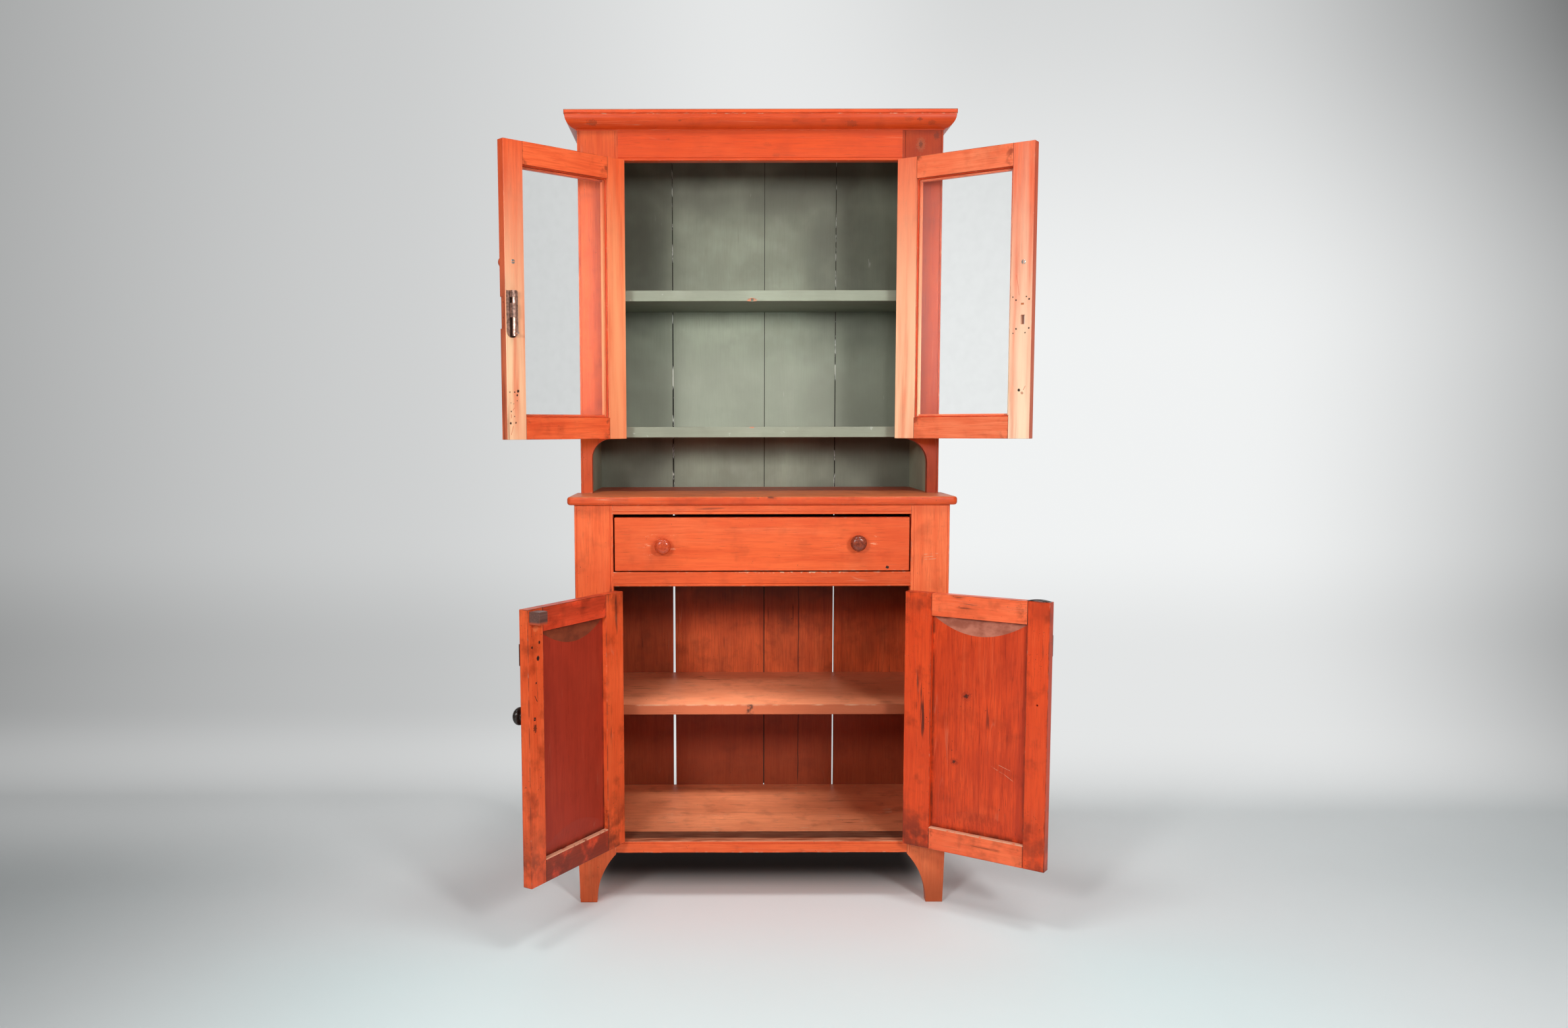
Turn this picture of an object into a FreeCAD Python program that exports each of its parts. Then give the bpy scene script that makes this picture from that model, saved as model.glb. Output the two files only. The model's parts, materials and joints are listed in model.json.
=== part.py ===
"""Step-back hutch cupboard: glazed doors above an open bay, one wide drawer, panelled doors below.

Millimetres, +Z up, the front towards -Y. The origin is on the floor, at the middle of the lower
case. The doors stand open, the drawer is shut and the bolt is drawn back.
"""

import FreeCAD, Part
import math
import os
import types

import Sketcher

DRIVING_SIZES = {
    # Case
    "overall_height": 2036,
    "case_width": 946,
    "case_depth": 520,
    "step_back": 166,
    "side_thickness": 24,
    "back_thickness": 18,
    "frame_thickness": 25,
    "dado_depth": 8,
    "board_ease": 0.8,
    # Back boards: seams measured from the middle, with gaps that narrow towards the top
    "left_seam": -239,
    "middle_seam": 26,
    "right_seam": 231,
    "left_seam_gap": 8,
    "middle_seam_gap": 3,
    "right_seam_gap": 5,
    "seam_gap_at_top": 1.6,
    # Counter
    "counter_height": 1053,
    "counter_thickness": 21,
    "counter_overhang": 15,
    "counter_side_overhang": 17,
    "counter_front_width": 289,
    "counter_nose": 7,
    "counter_corner": 12,
    # Lower face frame, from the counter down
    "lower_stile_width": 97,
    "top_rail_height": 24,
    "drawer_opening": 146,
    "drawer_rail_height": 37,
    "drawer_rail_depth": 48,
    "bottom_rail_height": 31,
    "bottom_rail_depth": 74,
    # Scratch bead along the openings and the outer corners
    "bead_width": 6.5,
    "corner_bead_width": 4.5,
    "quirk_width": 1.4,
    "quirk_depth": 1.6,
    "bead_round": 3,
    # Feet
    "foot_height": 132,
    "foot_taper": 4,
    "foot_width": 43,
    "foot_curve_drop": 3.6,
    "side_foot_width": 60,
    "side_foot_curve_run": 50,
    # Lower inside
    "floor_thickness": 22,
    "lower_shelf_rise": 340.5,
    "lower_shelf_thickness": 26,
    "lower_shelf_setback": 74,
    # Drawer
    "drawer_gap": 4,
    "drawer_front_lift": 3,
    "drawer_front_drop": 8,
    "drawer_front_thickness": 22,
    "drawer_lap": 12,
    "drawer_depth": 440,
    "drawer_side_inset": 2,
    "drawer_side_thickness": 13,
    "drawer_side_drop": 26,
    "drawer_bottom_thickness": 9,
    "drawer_bottom_lift": 6,
    "drawer_groove": 6,
    "drawer_back_thickness": 13,
    "drawer_clearance": 0.3,
    "guide_clearance": 1,
    "runner_width": 20,
    "runner_thickness": 22,
    "guide_height": 24,
    "cleat_height": 20,
    "drawer_knob_diameter": 40.5,
    "drawer_knob_length": 31,
    "left_knob_offset": 250,
    "right_knob_offset": 242,
    "left_knob_rise": 64,
    "right_knob_rise": 71,
    # Upper face frame
    "upper_stile_width": 105,
    "frieze_height": 112.5,
    "bay_height": 143,
    "bay_post_width": 30,
    "left_bay_curve": 50,
    "right_bay_curve": 64,
    "upper_shelf_thickness": 28,
    "bottom_shelf_lift": 3.5,
    "middle_shelf_rise": 357.5,
    "upper_shelf_setback": 1,
    # Cornice
    "top_thickness": 11,
    "top_corner": 4,
    "cornice_projection": 31,
    "cornice_reveal": 2,
    "cornice_step": 2,
    "cornice_curve": 33,
    "cornice_foot": 3,
    # Doors in general
    "door_gap": 2.5,
    "hinge_gap": 2.6,
    "door_tenon_length": 24,
    "door_tenon_thickness": 8,
    "tenon_shoulder": 8,
    "frame_tenon_length": 22,
    "frame_tenon_shoulder": 5,
    # Upper doors
    "upper_door_lift": 1,
    "upper_door_top_gap": 2.5,
    "upper_door_thickness": 24,
    "upper_door_member": 54,
    "glazing_lip_width": 8,
    "glazing_lip_thickness": 10,
    "glass_thickness": 3,
    "glass_clearance": 0.5,
    "left_upper_angle": 138,
    "right_upper_angle": 145,
    # Lower doors
    "lower_door_lift": 3,
    "lower_door_top_gap": 9,
    "lower_door_thickness": 25,
    "lower_hinge_stile": 72,
    "lower_lock_stile": 54,
    "lower_door_rail": 56,
    "panel_groove": 9,
    "panel_play": 1,
    "panel_setback": 6,
    "panel_edge": 7,
    "panel_fit": 0.2,
    "panel_crown": 5,
    "panel_top_edge": 6,
    "panel_top_bevel": 50,
    "panel_bottom_edge": 4,
    "panel_bottom_bevel": 66,
    "left_lower_angle": 121,
    "right_lower_angle": 145,
    # Butt hinges
    "hinge_leaf_thickness": 1.1,
    "hinge_leaf_height": 64,
    "hinge_leaf_width": 20,
    "hinge_knuckle_radius": 3.5,
    "hinge_pin_radius": 1.9,
    "hinge_fit": 0.06,
    "hinge_proud": 3.8,
    "knuckle_gap": 0.3,
    "upper_hinge_inset": 95,
    "lower_hinge_inset": 85,
    # Door furniture
    "small_knob_diameter": 28,
    "small_knob_length": 25,
    "small_knob_inset": 22,
    "upper_knob_rise": 428,
    "large_knob_diameter": 42,
    "large_knob_length": 32,
    "large_knob_inset": 22,
    "lower_knob_rise": 397,
    "catch_block_side": 30,
    "catch_block_inset": 5,
    "catch_block_drop": 4,
    "latch_plate_height": 50,
    "latch_plate_width": 18,
    "latch_plate_thickness": 2,
    "latch_plate_drop": 80,
    "top_spring_length": 58,
    "top_spring_width": 16,
    "top_spring_thickness": 1.5,
    "top_spring_rise": 4,
    "top_spring_inset": 2,
    "lock_slot_inset": 17.8,
    "lock_slot_rise": 278,
    "lock_slot_height": 23,
    "lock_slot_width": 9.7,
    "strike_recess_rise": 267,
    "strike_recess_height": 76,
    "strike_recess_depth": 3.5,
    "strike_recess_width": 15,
    "screw_hole_radius": 2.6,
    "screw_hole_inset": 26,
    "screw_hole_rise": 403,
    # Barrel bolt on the left upper door
    "bolt_inset": 18,
    "bolt_plate_drop": 3,
    "bolt_plate_height": 112,
    "bolt_plate_width": 32,
    "bolt_plate_thickness": 2,
    "bolt_rod_radius": 4.5,
    "bolt_rod_standoff": 9.5,
    "bolt_fit": 0.1,
    "bolt_wall": 2.5,
    "bolt_keeper_height": 16,
    "bolt_barrel_drop": 30,
    "bolt_barrel_height": 34,
    "bolt_travel": 33,
    "bolt_lever_radius": 3,
    "bolt_lever_length": 17,
    "bolt_heel_rise": 4,
    "bolt_lever_rise": 6,
    "bolt_hole_radius": 5.3,
    "bolt_hole_depth": 14,
    "bolt_chip_width": 22,
    "bolt_chip_depth": 3.5,
    "bolt_chip_height": 7,
}

PLANES = {"XY_Plane": ("z", False), "XZ_Plane": ("y", True), "YZ_Plane": ("x", False)}
LEFT, RIGHT = -1, 1
TOUCH = 0.01


class Size:
    """A size as a number, with the spreadsheet formula that gives it."""

    def __init__(self, number, formula):
        self.number = number
        self.formula = formula

    def __add__(self, other):
        other = as_size(other)
        return Size(self.number + other.number, f"({self.formula} + {other.formula})")

    def __sub__(self, other):
        other = as_size(other)
        return Size(self.number - other.number, f"({self.formula} - {other.formula})")

    def __mul__(self, other):
        other = as_size(other)
        return Size(self.number * other.number, f"({self.formula} * {other.formula})")

    def __truediv__(self, other):
        other = as_size(other)
        return Size(self.number / other.number, f"({self.formula} / {other.formula})")

    def __radd__(self, other):
        return as_size(other) + self

    def __rsub__(self, other):
        return as_size(other) - self

    def __rmul__(self, other):
        return as_size(other) * self

    def __neg__(self):
        return as_size(0) - self


def as_size(value):
    """Any number as a Size; a Size as it is."""
    if isinstance(value, Size):
        return value
    return Size(float(value), repr(float(value)))


def root(value):
    """The square root of a Size."""
    return Size(math.sqrt(value.number), f"sqrt({value.formula})")


def make_sheet():
    """The spreadsheet of driving dimensions, and a name for each of its cells."""
    sheet = doc.addObject("Spreadsheet::Sheet", "sizes")
    for row, (name, number) in enumerate(DRIVING_SIZES.items(), start=1):
        sheet.set(f"A{row}", name)
        sheet.set(f"B{row}", str(number))
        sheet.setAlias(f"B{row}", name)
    doc.recompute()
    return types.SimpleNamespace(
        **{name: Size(float(number), f"sizes.{name}") for name, number in DRIVING_SIZES.items()}
    )


def bind(item, prop, size):
    """Ties one property of a document object to a formula."""
    item.setExpression(prop, as_size(size).formula)


def place(item, x, y, z):
    """Ties an object's position to formulas."""
    for axis, value in zip("xyz", (x, y, z)):
        bind(item, f"Placement.Base.{axis}", value)


def block(x, y, z):
    """A plain box between the low and high ends of x, y and z."""
    item = doc.addObject("Part::Box", "block")
    for prop, (low, high) in zip(("Length", "Width", "Height"), (x, y, z)):
        bind(item, prop, as_size(high) - low)
    place(item, x[0], y[0], z[0])
    return item


def board(x, y, z):
    """A box with all its edges eased, as on worn boards."""
    item = doc.addObject("Part::Chamfer", "board")
    item.Base = block(x, y, z)
    item.Edges = [(edge, s.board_ease.number, s.board_ease.number) for edge in range(1, 13)]
    return item


def rod(radius, x, y, z_low, z_high):
    """An upright cylinder."""
    item = doc.addObject("Part::Cylinder", "rod")
    bind(item, "Radius", radius)
    bind(item, "Height", as_size(z_high) - z_low)
    place(item, x, y, z_low)
    return item


def bar(radius, x, y, z):
    """A cylinder that runs from front to back between the low and high ends of y."""
    item = doc.addObject("Part::Cylinder", "bar")
    bind(item, "Radius", radius)
    bind(item, "Height", as_size(y[1]) - y[0])
    item.Placement = FreeCAD.Placement(FreeCAD.Vector(), FreeCAD.Rotation(FreeCAD.Vector(1, 0, 0), -90))
    place(item, x, y[0], z)
    return item


def join(*pieces):
    """Pieces fused into one solid."""
    item = doc.addObject("Part::MultiFuse", "join")
    item.Shapes = list(pieces)
    item.Refine = True
    return item


def cut(base, *tools):
    """A piece less its tools."""
    item = doc.addObject("Part::Cut", "cut")
    item.Base = base
    item.Tool = tools[0] if len(tools) == 1 else join(*tools)
    return item


def common(first, second):
    """What two pieces share."""
    item = doc.addObject("Part::Common", "common")
    item.Base = first
    item.Tool = second
    return item


def point(corner):
    """A corner of an outline as a vector."""
    return FreeCAD.Vector(as_size(corner[0]).number, as_size(corner[1]).number, 0)


def add_segment(sketch, start, end):
    """Adds the line or arc that runs from start to end; returns which of its ends is the start."""
    first, last = point(start), point(end)
    if len(end) == 2:
        sketch.addGeometry(Part.LineSegment(first, last))
        return 1
    centre = point(end[2])
    from_centre, to_centre = first - centre, last - centre
    start_angle = math.atan2(from_centre.y, from_centre.x)
    end_angle = math.atan2(to_centre.y, to_centre.x)
    circle = Part.Circle(centre, FreeCAD.Vector(0, 0, 1), as_size(end[3]).number)
    if from_centre.cross(to_centre).z > 0:
        sketch.addGeometry(Part.ArcOfCircle(circle, start_angle, end_angle))
        return 1
    sketch.addGeometry(Part.ArcOfCircle(circle, end_angle, start_angle))
    return 2


def constrain(sketch, kind, *where):
    """Adds a constraint whose last argument is a Size, and ties it to that Size's formula."""
    size = as_size(where[-1])
    index = sketch.addConstraint(Sketcher.Constraint(kind, *where[:-1], size.number))
    sketch.setExpression(f"Constraints[{index}]", size.formula)


def draw(sketch, outline):
    """Draws a closed outline. A corner is (u, v), or (u, v, centre, radius) where an arc ends."""
    starts = []
    for index, corner in enumerate(outline):
        starts.append(add_segment(sketch, corner, outline[(index + 1) % len(outline)]))
    for index, corner in enumerate(outline):
        following = (index + 1) % len(outline)
        sketch.addConstraint(
            Sketcher.Constraint("Coincident", index, 3 - starts[index], following, starts[following])
        )
        for kind, axis, value in (("DistanceX", -2, corner[0]), ("DistanceY", -1, corner[1])):
            if isinstance(value, Size):
                constrain(sketch, kind, -1, 1, index, starts[index], value)
            else:
                sketch.addConstraint(Sketcher.Constraint("PointOnObject", index, starts[index], axis))
        if len(outline[following]) > 2:
            constrain(sketch, "Radius", index, outline[following][3])


def body_with_sketch(plane, outline):
    """A body whose first sketch holds an outline on one of the body's own origin planes."""
    body = doc.addObject("PartDesign::Body", "body")
    sketch = body.newObject("Sketcher::SketchObject", "outline")
    origin = next(item for item in body.Origin.OriginFeatures if item.Role == plane)
    sketch.AttachmentSupport = [(origin, "")]
    sketch.MapMode = "FlatFace"
    draw(sketch, outline)
    return body, sketch


def prism(plane, outline, low, high):
    """An outline padded along its plane's axis from low to high."""
    axis, reverse = PLANES[plane]
    body, sketch = body_with_sketch(plane, outline)
    pad = body.newObject("PartDesign::Pad", "pad")
    pad.Profile = sketch
    pad.Reversed = reverse
    bind(pad, "Length", as_size(high) - low)
    bind(body, f"Placement.Base.{axis}", low)
    return body


def turned(outline):
    """An outline in radius and height revolved about the Y axis."""
    body, sketch = body_with_sketch("XY_Plane", outline)
    turning = body.newObject("PartDesign::Revolution", "turning")
    turning.Profile = sketch
    turning.ReferenceAxis = (sketch, ["V_Axis"])
    turning.Angle = 360
    return body


def fillet(body, radius, wanted):
    """Rounds those edges of a body's last feature that pass a test."""
    doc.recompute()
    feature = body.Tip
    edges = [f"Edge{index}" for index, edge in enumerate(feature.Shape.Edges, start=1) if wanted(edge)]
    item = body.newObject("PartDesign::Fillet", "rounding")
    item.Base = (feature, edges)
    bind(item, "Radius", radius)
    body.Tip = item


def node(name, *pieces, pose=None):
    """A named sub-part made of its separate solids, set at a pose if it rides on a door."""
    item = doc.addObject("Part::Compound", name)
    item.Label = name
    item.Links = list(pieces)
    if pose is not None:
        pose(item)
    nodes.append(item)


def span(side, low, high):
    """Low and high x of a stretch measured outwards from the middle, on the left or right."""
    return (low, high) if side == RIGHT else (-high, -low)


doc = FreeCAD.newDocument("hutch_cupboard")
nodes = []
s = make_sheet()

# Planes and levels that pieces share
half_width = s.case_width / 2
inside = half_width - s.side_thickness
front = -s.case_depth / 2
back = s.case_depth / 2
back_face = back - s.back_thickness
frame_back = front + s.frame_thickness
upper_front = front + s.step_back
upper_frame_back = upper_front + s.frame_thickness
top_underside = s.overall_height - s.top_thickness
counter_underside = s.counter_height - s.counter_thickness
top_rail_bottom = counter_underside - s.top_rail_height
drawer_rail_top = top_rail_bottom - s.drawer_opening
drawer_rail_bottom = drawer_rail_top - s.drawer_rail_height
case_bottom = s.foot_height
floor_top = case_bottom + s.bottom_rail_height
lower_edge = half_width - s.lower_stile_width
upper_edge = half_width - s.upper_stile_width
frieze_bottom = top_underside - s.frieze_height
upper_shelf_front = upper_frame_back + s.upper_shelf_setback
bay_top = s.counter_height + s.bay_height
lower_shelf_top = floor_top + s.lower_shelf_rise
bottom_shelf_top = bay_top + s.bottom_shelf_lift + s.upper_shelf_thickness
middle_shelf_top = bottom_shelf_top + s.middle_shelf_rise
middle_shelf_bottom = middle_shelf_top - s.upper_shelf_thickness
frame_tenon = s.frame_thickness / 3


def shelf_levels():
    """Bottom and top of each board that is housed in the sides, with its front edge."""
    return (
        (floor_top - s.floor_thickness, floor_top, front + s.bottom_rail_depth),
        (lower_shelf_top - s.lower_shelf_thickness, lower_shelf_top, front + s.lower_shelf_setback),
        (bottom_shelf_top - s.upper_shelf_thickness, bottom_shelf_top, upper_shelf_front),
        (middle_shelf_bottom, middle_shelf_top, upper_shelf_front),
    )


def foot_curve(run, rise):
    """Radius of the arc, centred at floor level, that runs in from a foot as it rises."""
    return (run * run + rise * rise) / (run * 2)


def make_sides():
    """Each side: a full-height board, and a shorter one in front of it below the counter."""
    run = s.side_foot_curve_run
    curve = foot_curve(run, case_bottom)
    front_toe = frame_back + s.side_foot_width
    rear_toe = back_face - s.side_foot_width
    lower_board = [
        (frame_back, 0),
        (front_toe, 0),
        (front_toe + run, case_bottom, (front_toe + curve, 0), curve),
        (upper_frame_back, case_bottom),
        (upper_frame_back, counter_underside),
        (frame_back, counter_underside),
    ]
    tall_board = [
        (upper_frame_back, case_bottom),
        (rear_toe - run, case_bottom),
        (rear_toe, 0, (rear_toe - curve, 0), curve),
        (back_face, 0),
        (back_face, top_underside),
        (upper_frame_back, top_underside),
    ]
    for side, name in ((LEFT, "side_left"), (RIGHT, "side_right")):
        across = span(side, inside, half_width)
        housing = span(side, inside, inside + s.dado_depth)
        levels = shelf_levels()
        lower = cut(
            prism("YZ_Plane", lower_board, *across),
            *[block(housing, (start, back_face), (low, high)) for low, high, start in levels[:2]],
        )
        tall = cut(
            prism("YZ_Plane", tall_board, *across),
            *[block(housing, (start, back_face), (low, high)) for low, high, start in levels],
        )
        node(name, lower, tall)


def make_back_boards():
    """Four upright boards whose gaps narrow towards the top."""
    seams = (
        (s.left_seam, s.left_seam_gap),
        (s.middle_seam, s.middle_seam_gap),
        (s.right_seam, s.right_seam_gap),
    )
    lows = [(-half_width, -half_width)]
    highs = []
    for seam, gap in seams:
        highs.append((seam - gap / 2, seam - s.seam_gap_at_top / 2))
        lows.append((seam + gap / 2, seam + s.seam_gap_at_top / 2))
    highs.append((half_width, half_width))
    boards = []
    for (low, low_top), (high, high_top) in zip(lows, highs):
        outline = [
            (low, case_bottom),
            (high, case_bottom),
            (high_top, top_underside),
            (low_top, top_underside),
        ]
        boards.append(prism("XZ_Plane", outline, back_face, back))
    node("back_boards", *boards)


def bead_quirk(x, z, depth_from):
    """The fine upright groove beside a bead."""
    return block(x, (depth_from, depth_from + s.quirk_depth), z)


def tenon_block(side, edge, z_low, z_high, y):
    """The tenon of a face-frame rail, from a stile's inner edge outwards."""
    return block(
        span(side, edge, edge + s.frame_tenon_length),
        (y + frame_tenon, y + frame_tenon * 2),
        (z_low + s.frame_tenon_shoulder, z_high - s.frame_tenon_shoulder),
    )


def frame_rails():
    """Bottom, top, front, depth and bead edge of the rails of the two face frames."""
    return {
        "drawer_top_rail": (top_rail_bottom, counter_underside, front, s.frame_thickness, "low"),
        "drawer_rail": (drawer_rail_bottom, drawer_rail_top, front, s.drawer_rail_depth, "low"),
        "bottom_rail": (case_bottom, floor_top, front, s.bottom_rail_depth, "high"),
        "frieze_rail": (frieze_bottom, top_underside, upper_front, s.frame_thickness, "low"),
    }


def rail_outline(low, high, y, depth, beaded):
    """Section of a rail in depth and height: a rounded bead with a quirk along one edge."""
    edge, inward = (low, 1) if beaded == "low" else (high, -1)
    plain = high if beaded == "low" else low
    bead_end = edge + inward * s.bead_width
    quirk_end = bead_end + inward * s.quirk_width
    round_end = edge + inward * s.bead_round
    return [
        (y + depth, edge),
        (y + depth, plain),
        (y, plain),
        (y, quirk_end),
        (y + s.quirk_depth, bead_end + inward * s.quirk_width / 2),
        (y, bead_end),
        (y, round_end),
        (y + s.bead_round, edge, (y + s.bead_round, round_end), s.bead_round),
    ]


def make_rails():
    """Beaded rails with a tenon at each end."""
    for name, (low, high, y, depth, beaded) in frame_rails().items():
        edge = upper_edge if name == "frieze_rail" else lower_edge
        length = prism("YZ_Plane", rail_outline(low, high, y, depth, beaded), -edge, edge)
        tenons = [tenon_block(side, edge, low, high, y) for side in (LEFT, RIGHT)]
        node(name, join(length, *tenons))


def stile_grooves(side, edge, inner_low, outer_low, high, y):
    """Quirks of the bead at a stile's inner edge and of the one at the case's corner."""
    inner = edge + s.bead_width
    outer = half_width - s.corner_bead_width
    return [
        bead_quirk(span(side, inner, inner + s.quirk_width), (inner_low, high), y),
        bead_quirk(span(side, outer - s.quirk_width, outer), (outer_low, high), y),
    ]


def make_lower_stiles():
    """Stiles that run down to the floor as curved, slightly tapered feet."""
    foot_inner = half_width - s.foot_taper - s.foot_width
    curve_top = case_bottom - s.foot_curve_drop
    curve = foot_curve(foot_inner - lower_edge, curve_top)
    for side, name in ((LEFT, "lower_stile_left"), (RIGHT, "lower_stile_right")):
        outline = [
            (side * foot_inner, 0, (side * (foot_inner - curve), 0), curve),
            (side * (half_width - s.foot_taper), 0),
            (side * half_width, case_bottom),
            (side * half_width, counter_underside),
            (side * lower_edge, counter_underside),
            (side * lower_edge, curve_top),
        ]
        mortises = [
            tenon_block(side, lower_edge, low, high, y)
            for rail, (low, high, y, _, _) in frame_rails().items()
            if rail != "frieze_rail"
        ]
        grooves = stile_grooves(side, lower_edge, case_bottom, case_bottom, counter_underside, front)
        node(name, cut(prism("XZ_Plane", outline, front, frame_back), *mortises, *grooves))


def make_upper_stiles():
    """Stiles that are cut away below the doors in a curve to a narrow post on the counter."""
    post = half_width - s.bay_post_width
    low, high, y, _, _ = frame_rails()["frieze_rail"]
    for side, name, curve in (
        (LEFT, "upper_stile_left", s.left_bay_curve),
        (RIGHT, "upper_stile_right", s.right_bay_curve),
    ):
        outline = [
            (side * half_width, s.counter_height),
            (side * half_width, top_underside),
            (side * upper_edge, top_underside),
            (side * upper_edge, bay_top),
            (side * (post - curve), bay_top),
            (side * post, bay_top - curve, (side * (post - curve), bay_top - curve), curve),
            (side * post, s.counter_height),
        ]
        grooves = stile_grooves(
            side, upper_edge, bay_top, s.counter_height, top_underside, upper_front
        )
        mortise = tenon_block(side, upper_edge, low, high, y)
        node(name, cut(prism("XZ_Plane", outline, upper_front, upper_frame_back), mortise, *grooves))


def make_counter():
    """A nosed front board that is notched round the tall sides, and a plain board behind it."""
    nose = front - s.counter_overhang
    ear = half_width + s.counter_side_overhang
    seam = nose + s.counter_front_width
    turn = ear - s.counter_corner
    corner_y = nose + s.counter_corner
    outline = [
        (-turn, nose, (-turn, corner_y), s.counter_corner),
        (turn, nose),
        (ear, corner_y, (turn, corner_y), s.counter_corner),
        (ear, upper_frame_back),
        (inside, upper_frame_back),
        (inside, seam),
        (-inside, seam),
        (-inside, upper_frame_back),
        (-ear, upper_frame_back),
        (-ear, corner_y),
    ]
    front_board = prism("XY_Plane", outline, counter_underside, s.counter_height)

    def on_nose(edge):
        ends = [vertex.Point for vertex in edge.Vertexes]
        level = abs(ends[0].z - ends[-1].z) < TOUCH
        in_front = min(end.y for end in ends) < upper_frame_back.number - TOUCH
        at_rim = all(abs(end.x) > turn.number - TOUCH for end in ends)
        return level and in_front and at_rim

    fillet(front_board, s.counter_nose, on_nose)
    node("counter_front_board", front_board)
    rear_board = board((-inside, inside), (seam, back_face), (counter_underside, s.counter_height))
    node("counter_rear_board", rear_board)


def make_shelves():
    """Floor board and shelves, housed at their ends in the sides."""
    reach = (-inside - s.dado_depth, inside + s.dado_depth)
    names = ("lower_floor_board", "lower_shelf", "upper_bottom_shelf", "upper_middle_shelf")
    for name, (low, high, start) in zip(names, shelf_levels()):
        shelf = board(reach, (start, back_face), (low, high))
        if name == "upper_middle_shelf":
            bolt_x, bolt_y = closed_bolt_axis()
            hole = rod(s.bolt_hole_radius, bolt_x, bolt_y, low, low + s.bolt_hole_depth)
            chip = block(
                (bolt_x - s.bolt_chip_width / 2, bolt_x + s.bolt_chip_width / 2),
                (start, start + s.bolt_chip_depth),
                (low, low + s.bolt_chip_height),
            )
            shelf = cut(shelf, hole, chip)
        node(name, shelf)


def make_drawer_supports():
    """Runners with a guide strip on each, and cleats under the counter that keep the drawer level."""
    drawer_edge = lower_edge - s.drawer_gap - s.drawer_side_inset
    runner_edge = drawer_edge - s.runner_width
    guide_edge = drawer_edge + s.guide_clearance
    depth = (front + s.drawer_rail_depth, back_face)
    runners = []
    cleats = []
    for side in (LEFT, RIGHT):
        shelf = span(side, runner_edge, inside)
        runners.append(board(shelf, depth, (drawer_rail_top - s.runner_thickness, drawer_rail_top)))
        guide = span(side, guide_edge, inside)
        runners.append(board(guide, depth, (drawer_rail_top, drawer_rail_top + s.guide_height)))
        cleat_height = (counter_underside - s.cleat_height, counter_underside)
        cleats.append(board(shelf, (frame_back, back_face), cleat_height))
    node("drawer_runners", *runners)
    node("counter_cleats", *cleats)


def make_drawer():
    """A lapped drawer: front, two sides, back and a bottom held in grooves."""
    edge = lower_edge - s.drawer_gap
    outer = edge - s.drawer_side_inset
    inner = outer - s.drawer_side_thickness
    front_low = drawer_rail_top + s.drawer_front_lift
    front_back = front + s.drawer_front_thickness
    lap = front_back - s.drawer_lap
    front_high = top_rail_bottom - s.drawer_front_drop
    side_low = drawer_rail_top + s.drawer_clearance
    side_high = front_high - s.drawer_side_drop
    end = front + s.drawer_depth
    bottom = (side_low + s.drawer_bottom_lift, side_low + s.drawer_bottom_lift + s.drawer_bottom_thickness)
    groove = inner + s.drawer_groove
    bottom_slot = block((-groove, groove), (front_back - s.drawer_groove, end), bottom)
    laps = [
        block(span(side, inner, edge), (lap, front_back), (side_low, side_high)) for side in (LEFT, RIGHT)
    ]
    face = board((-edge, edge), (front, front_back), (front_low, front_high))
    node("drawer_front", cut(face, bottom_slot, *laps))
    sides = [
        cut(board(span(side, inner, outer), (lap, end), (side_low, side_high)), bottom_slot)
        for side in (LEFT, RIGHT)
    ]
    node("drawer_sides", *sides)
    node("drawer_back", board((-inner, inner), (end - s.drawer_back_thickness, end), (bottom[1], side_high)))
    node("drawer_bottom", block((-groove, groove), (front_back - s.drawer_groove, end), bottom))
    knobs = []
    for x, rise in ((-s.left_knob_offset, s.left_knob_rise), (s.right_knob_offset, s.right_knob_rise)):
        knob = turned_knob(s.drawer_knob_diameter, s.drawer_knob_length)
        place(knob, x, front, front_low + rise)
        knobs.append(knob)
    node("drawer_knobs", *knobs)


def turned_knob(diameter, length):
    """A turned mushroom knob with a bevelled head, pointing forwards from its face."""
    radius = diameter / 2
    neck = radius * 0.5
    crown = radius * 0.72
    neck_length = length * 0.48
    rim = length * 0.76
    return turned(
        [
            (0, 0),
            (neck, 0),
            (neck, -neck_length),
            (radius, -neck_length),
            (radius, -rim),
            (crown, -length),
            (0, -length),
        ]
    )


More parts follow.
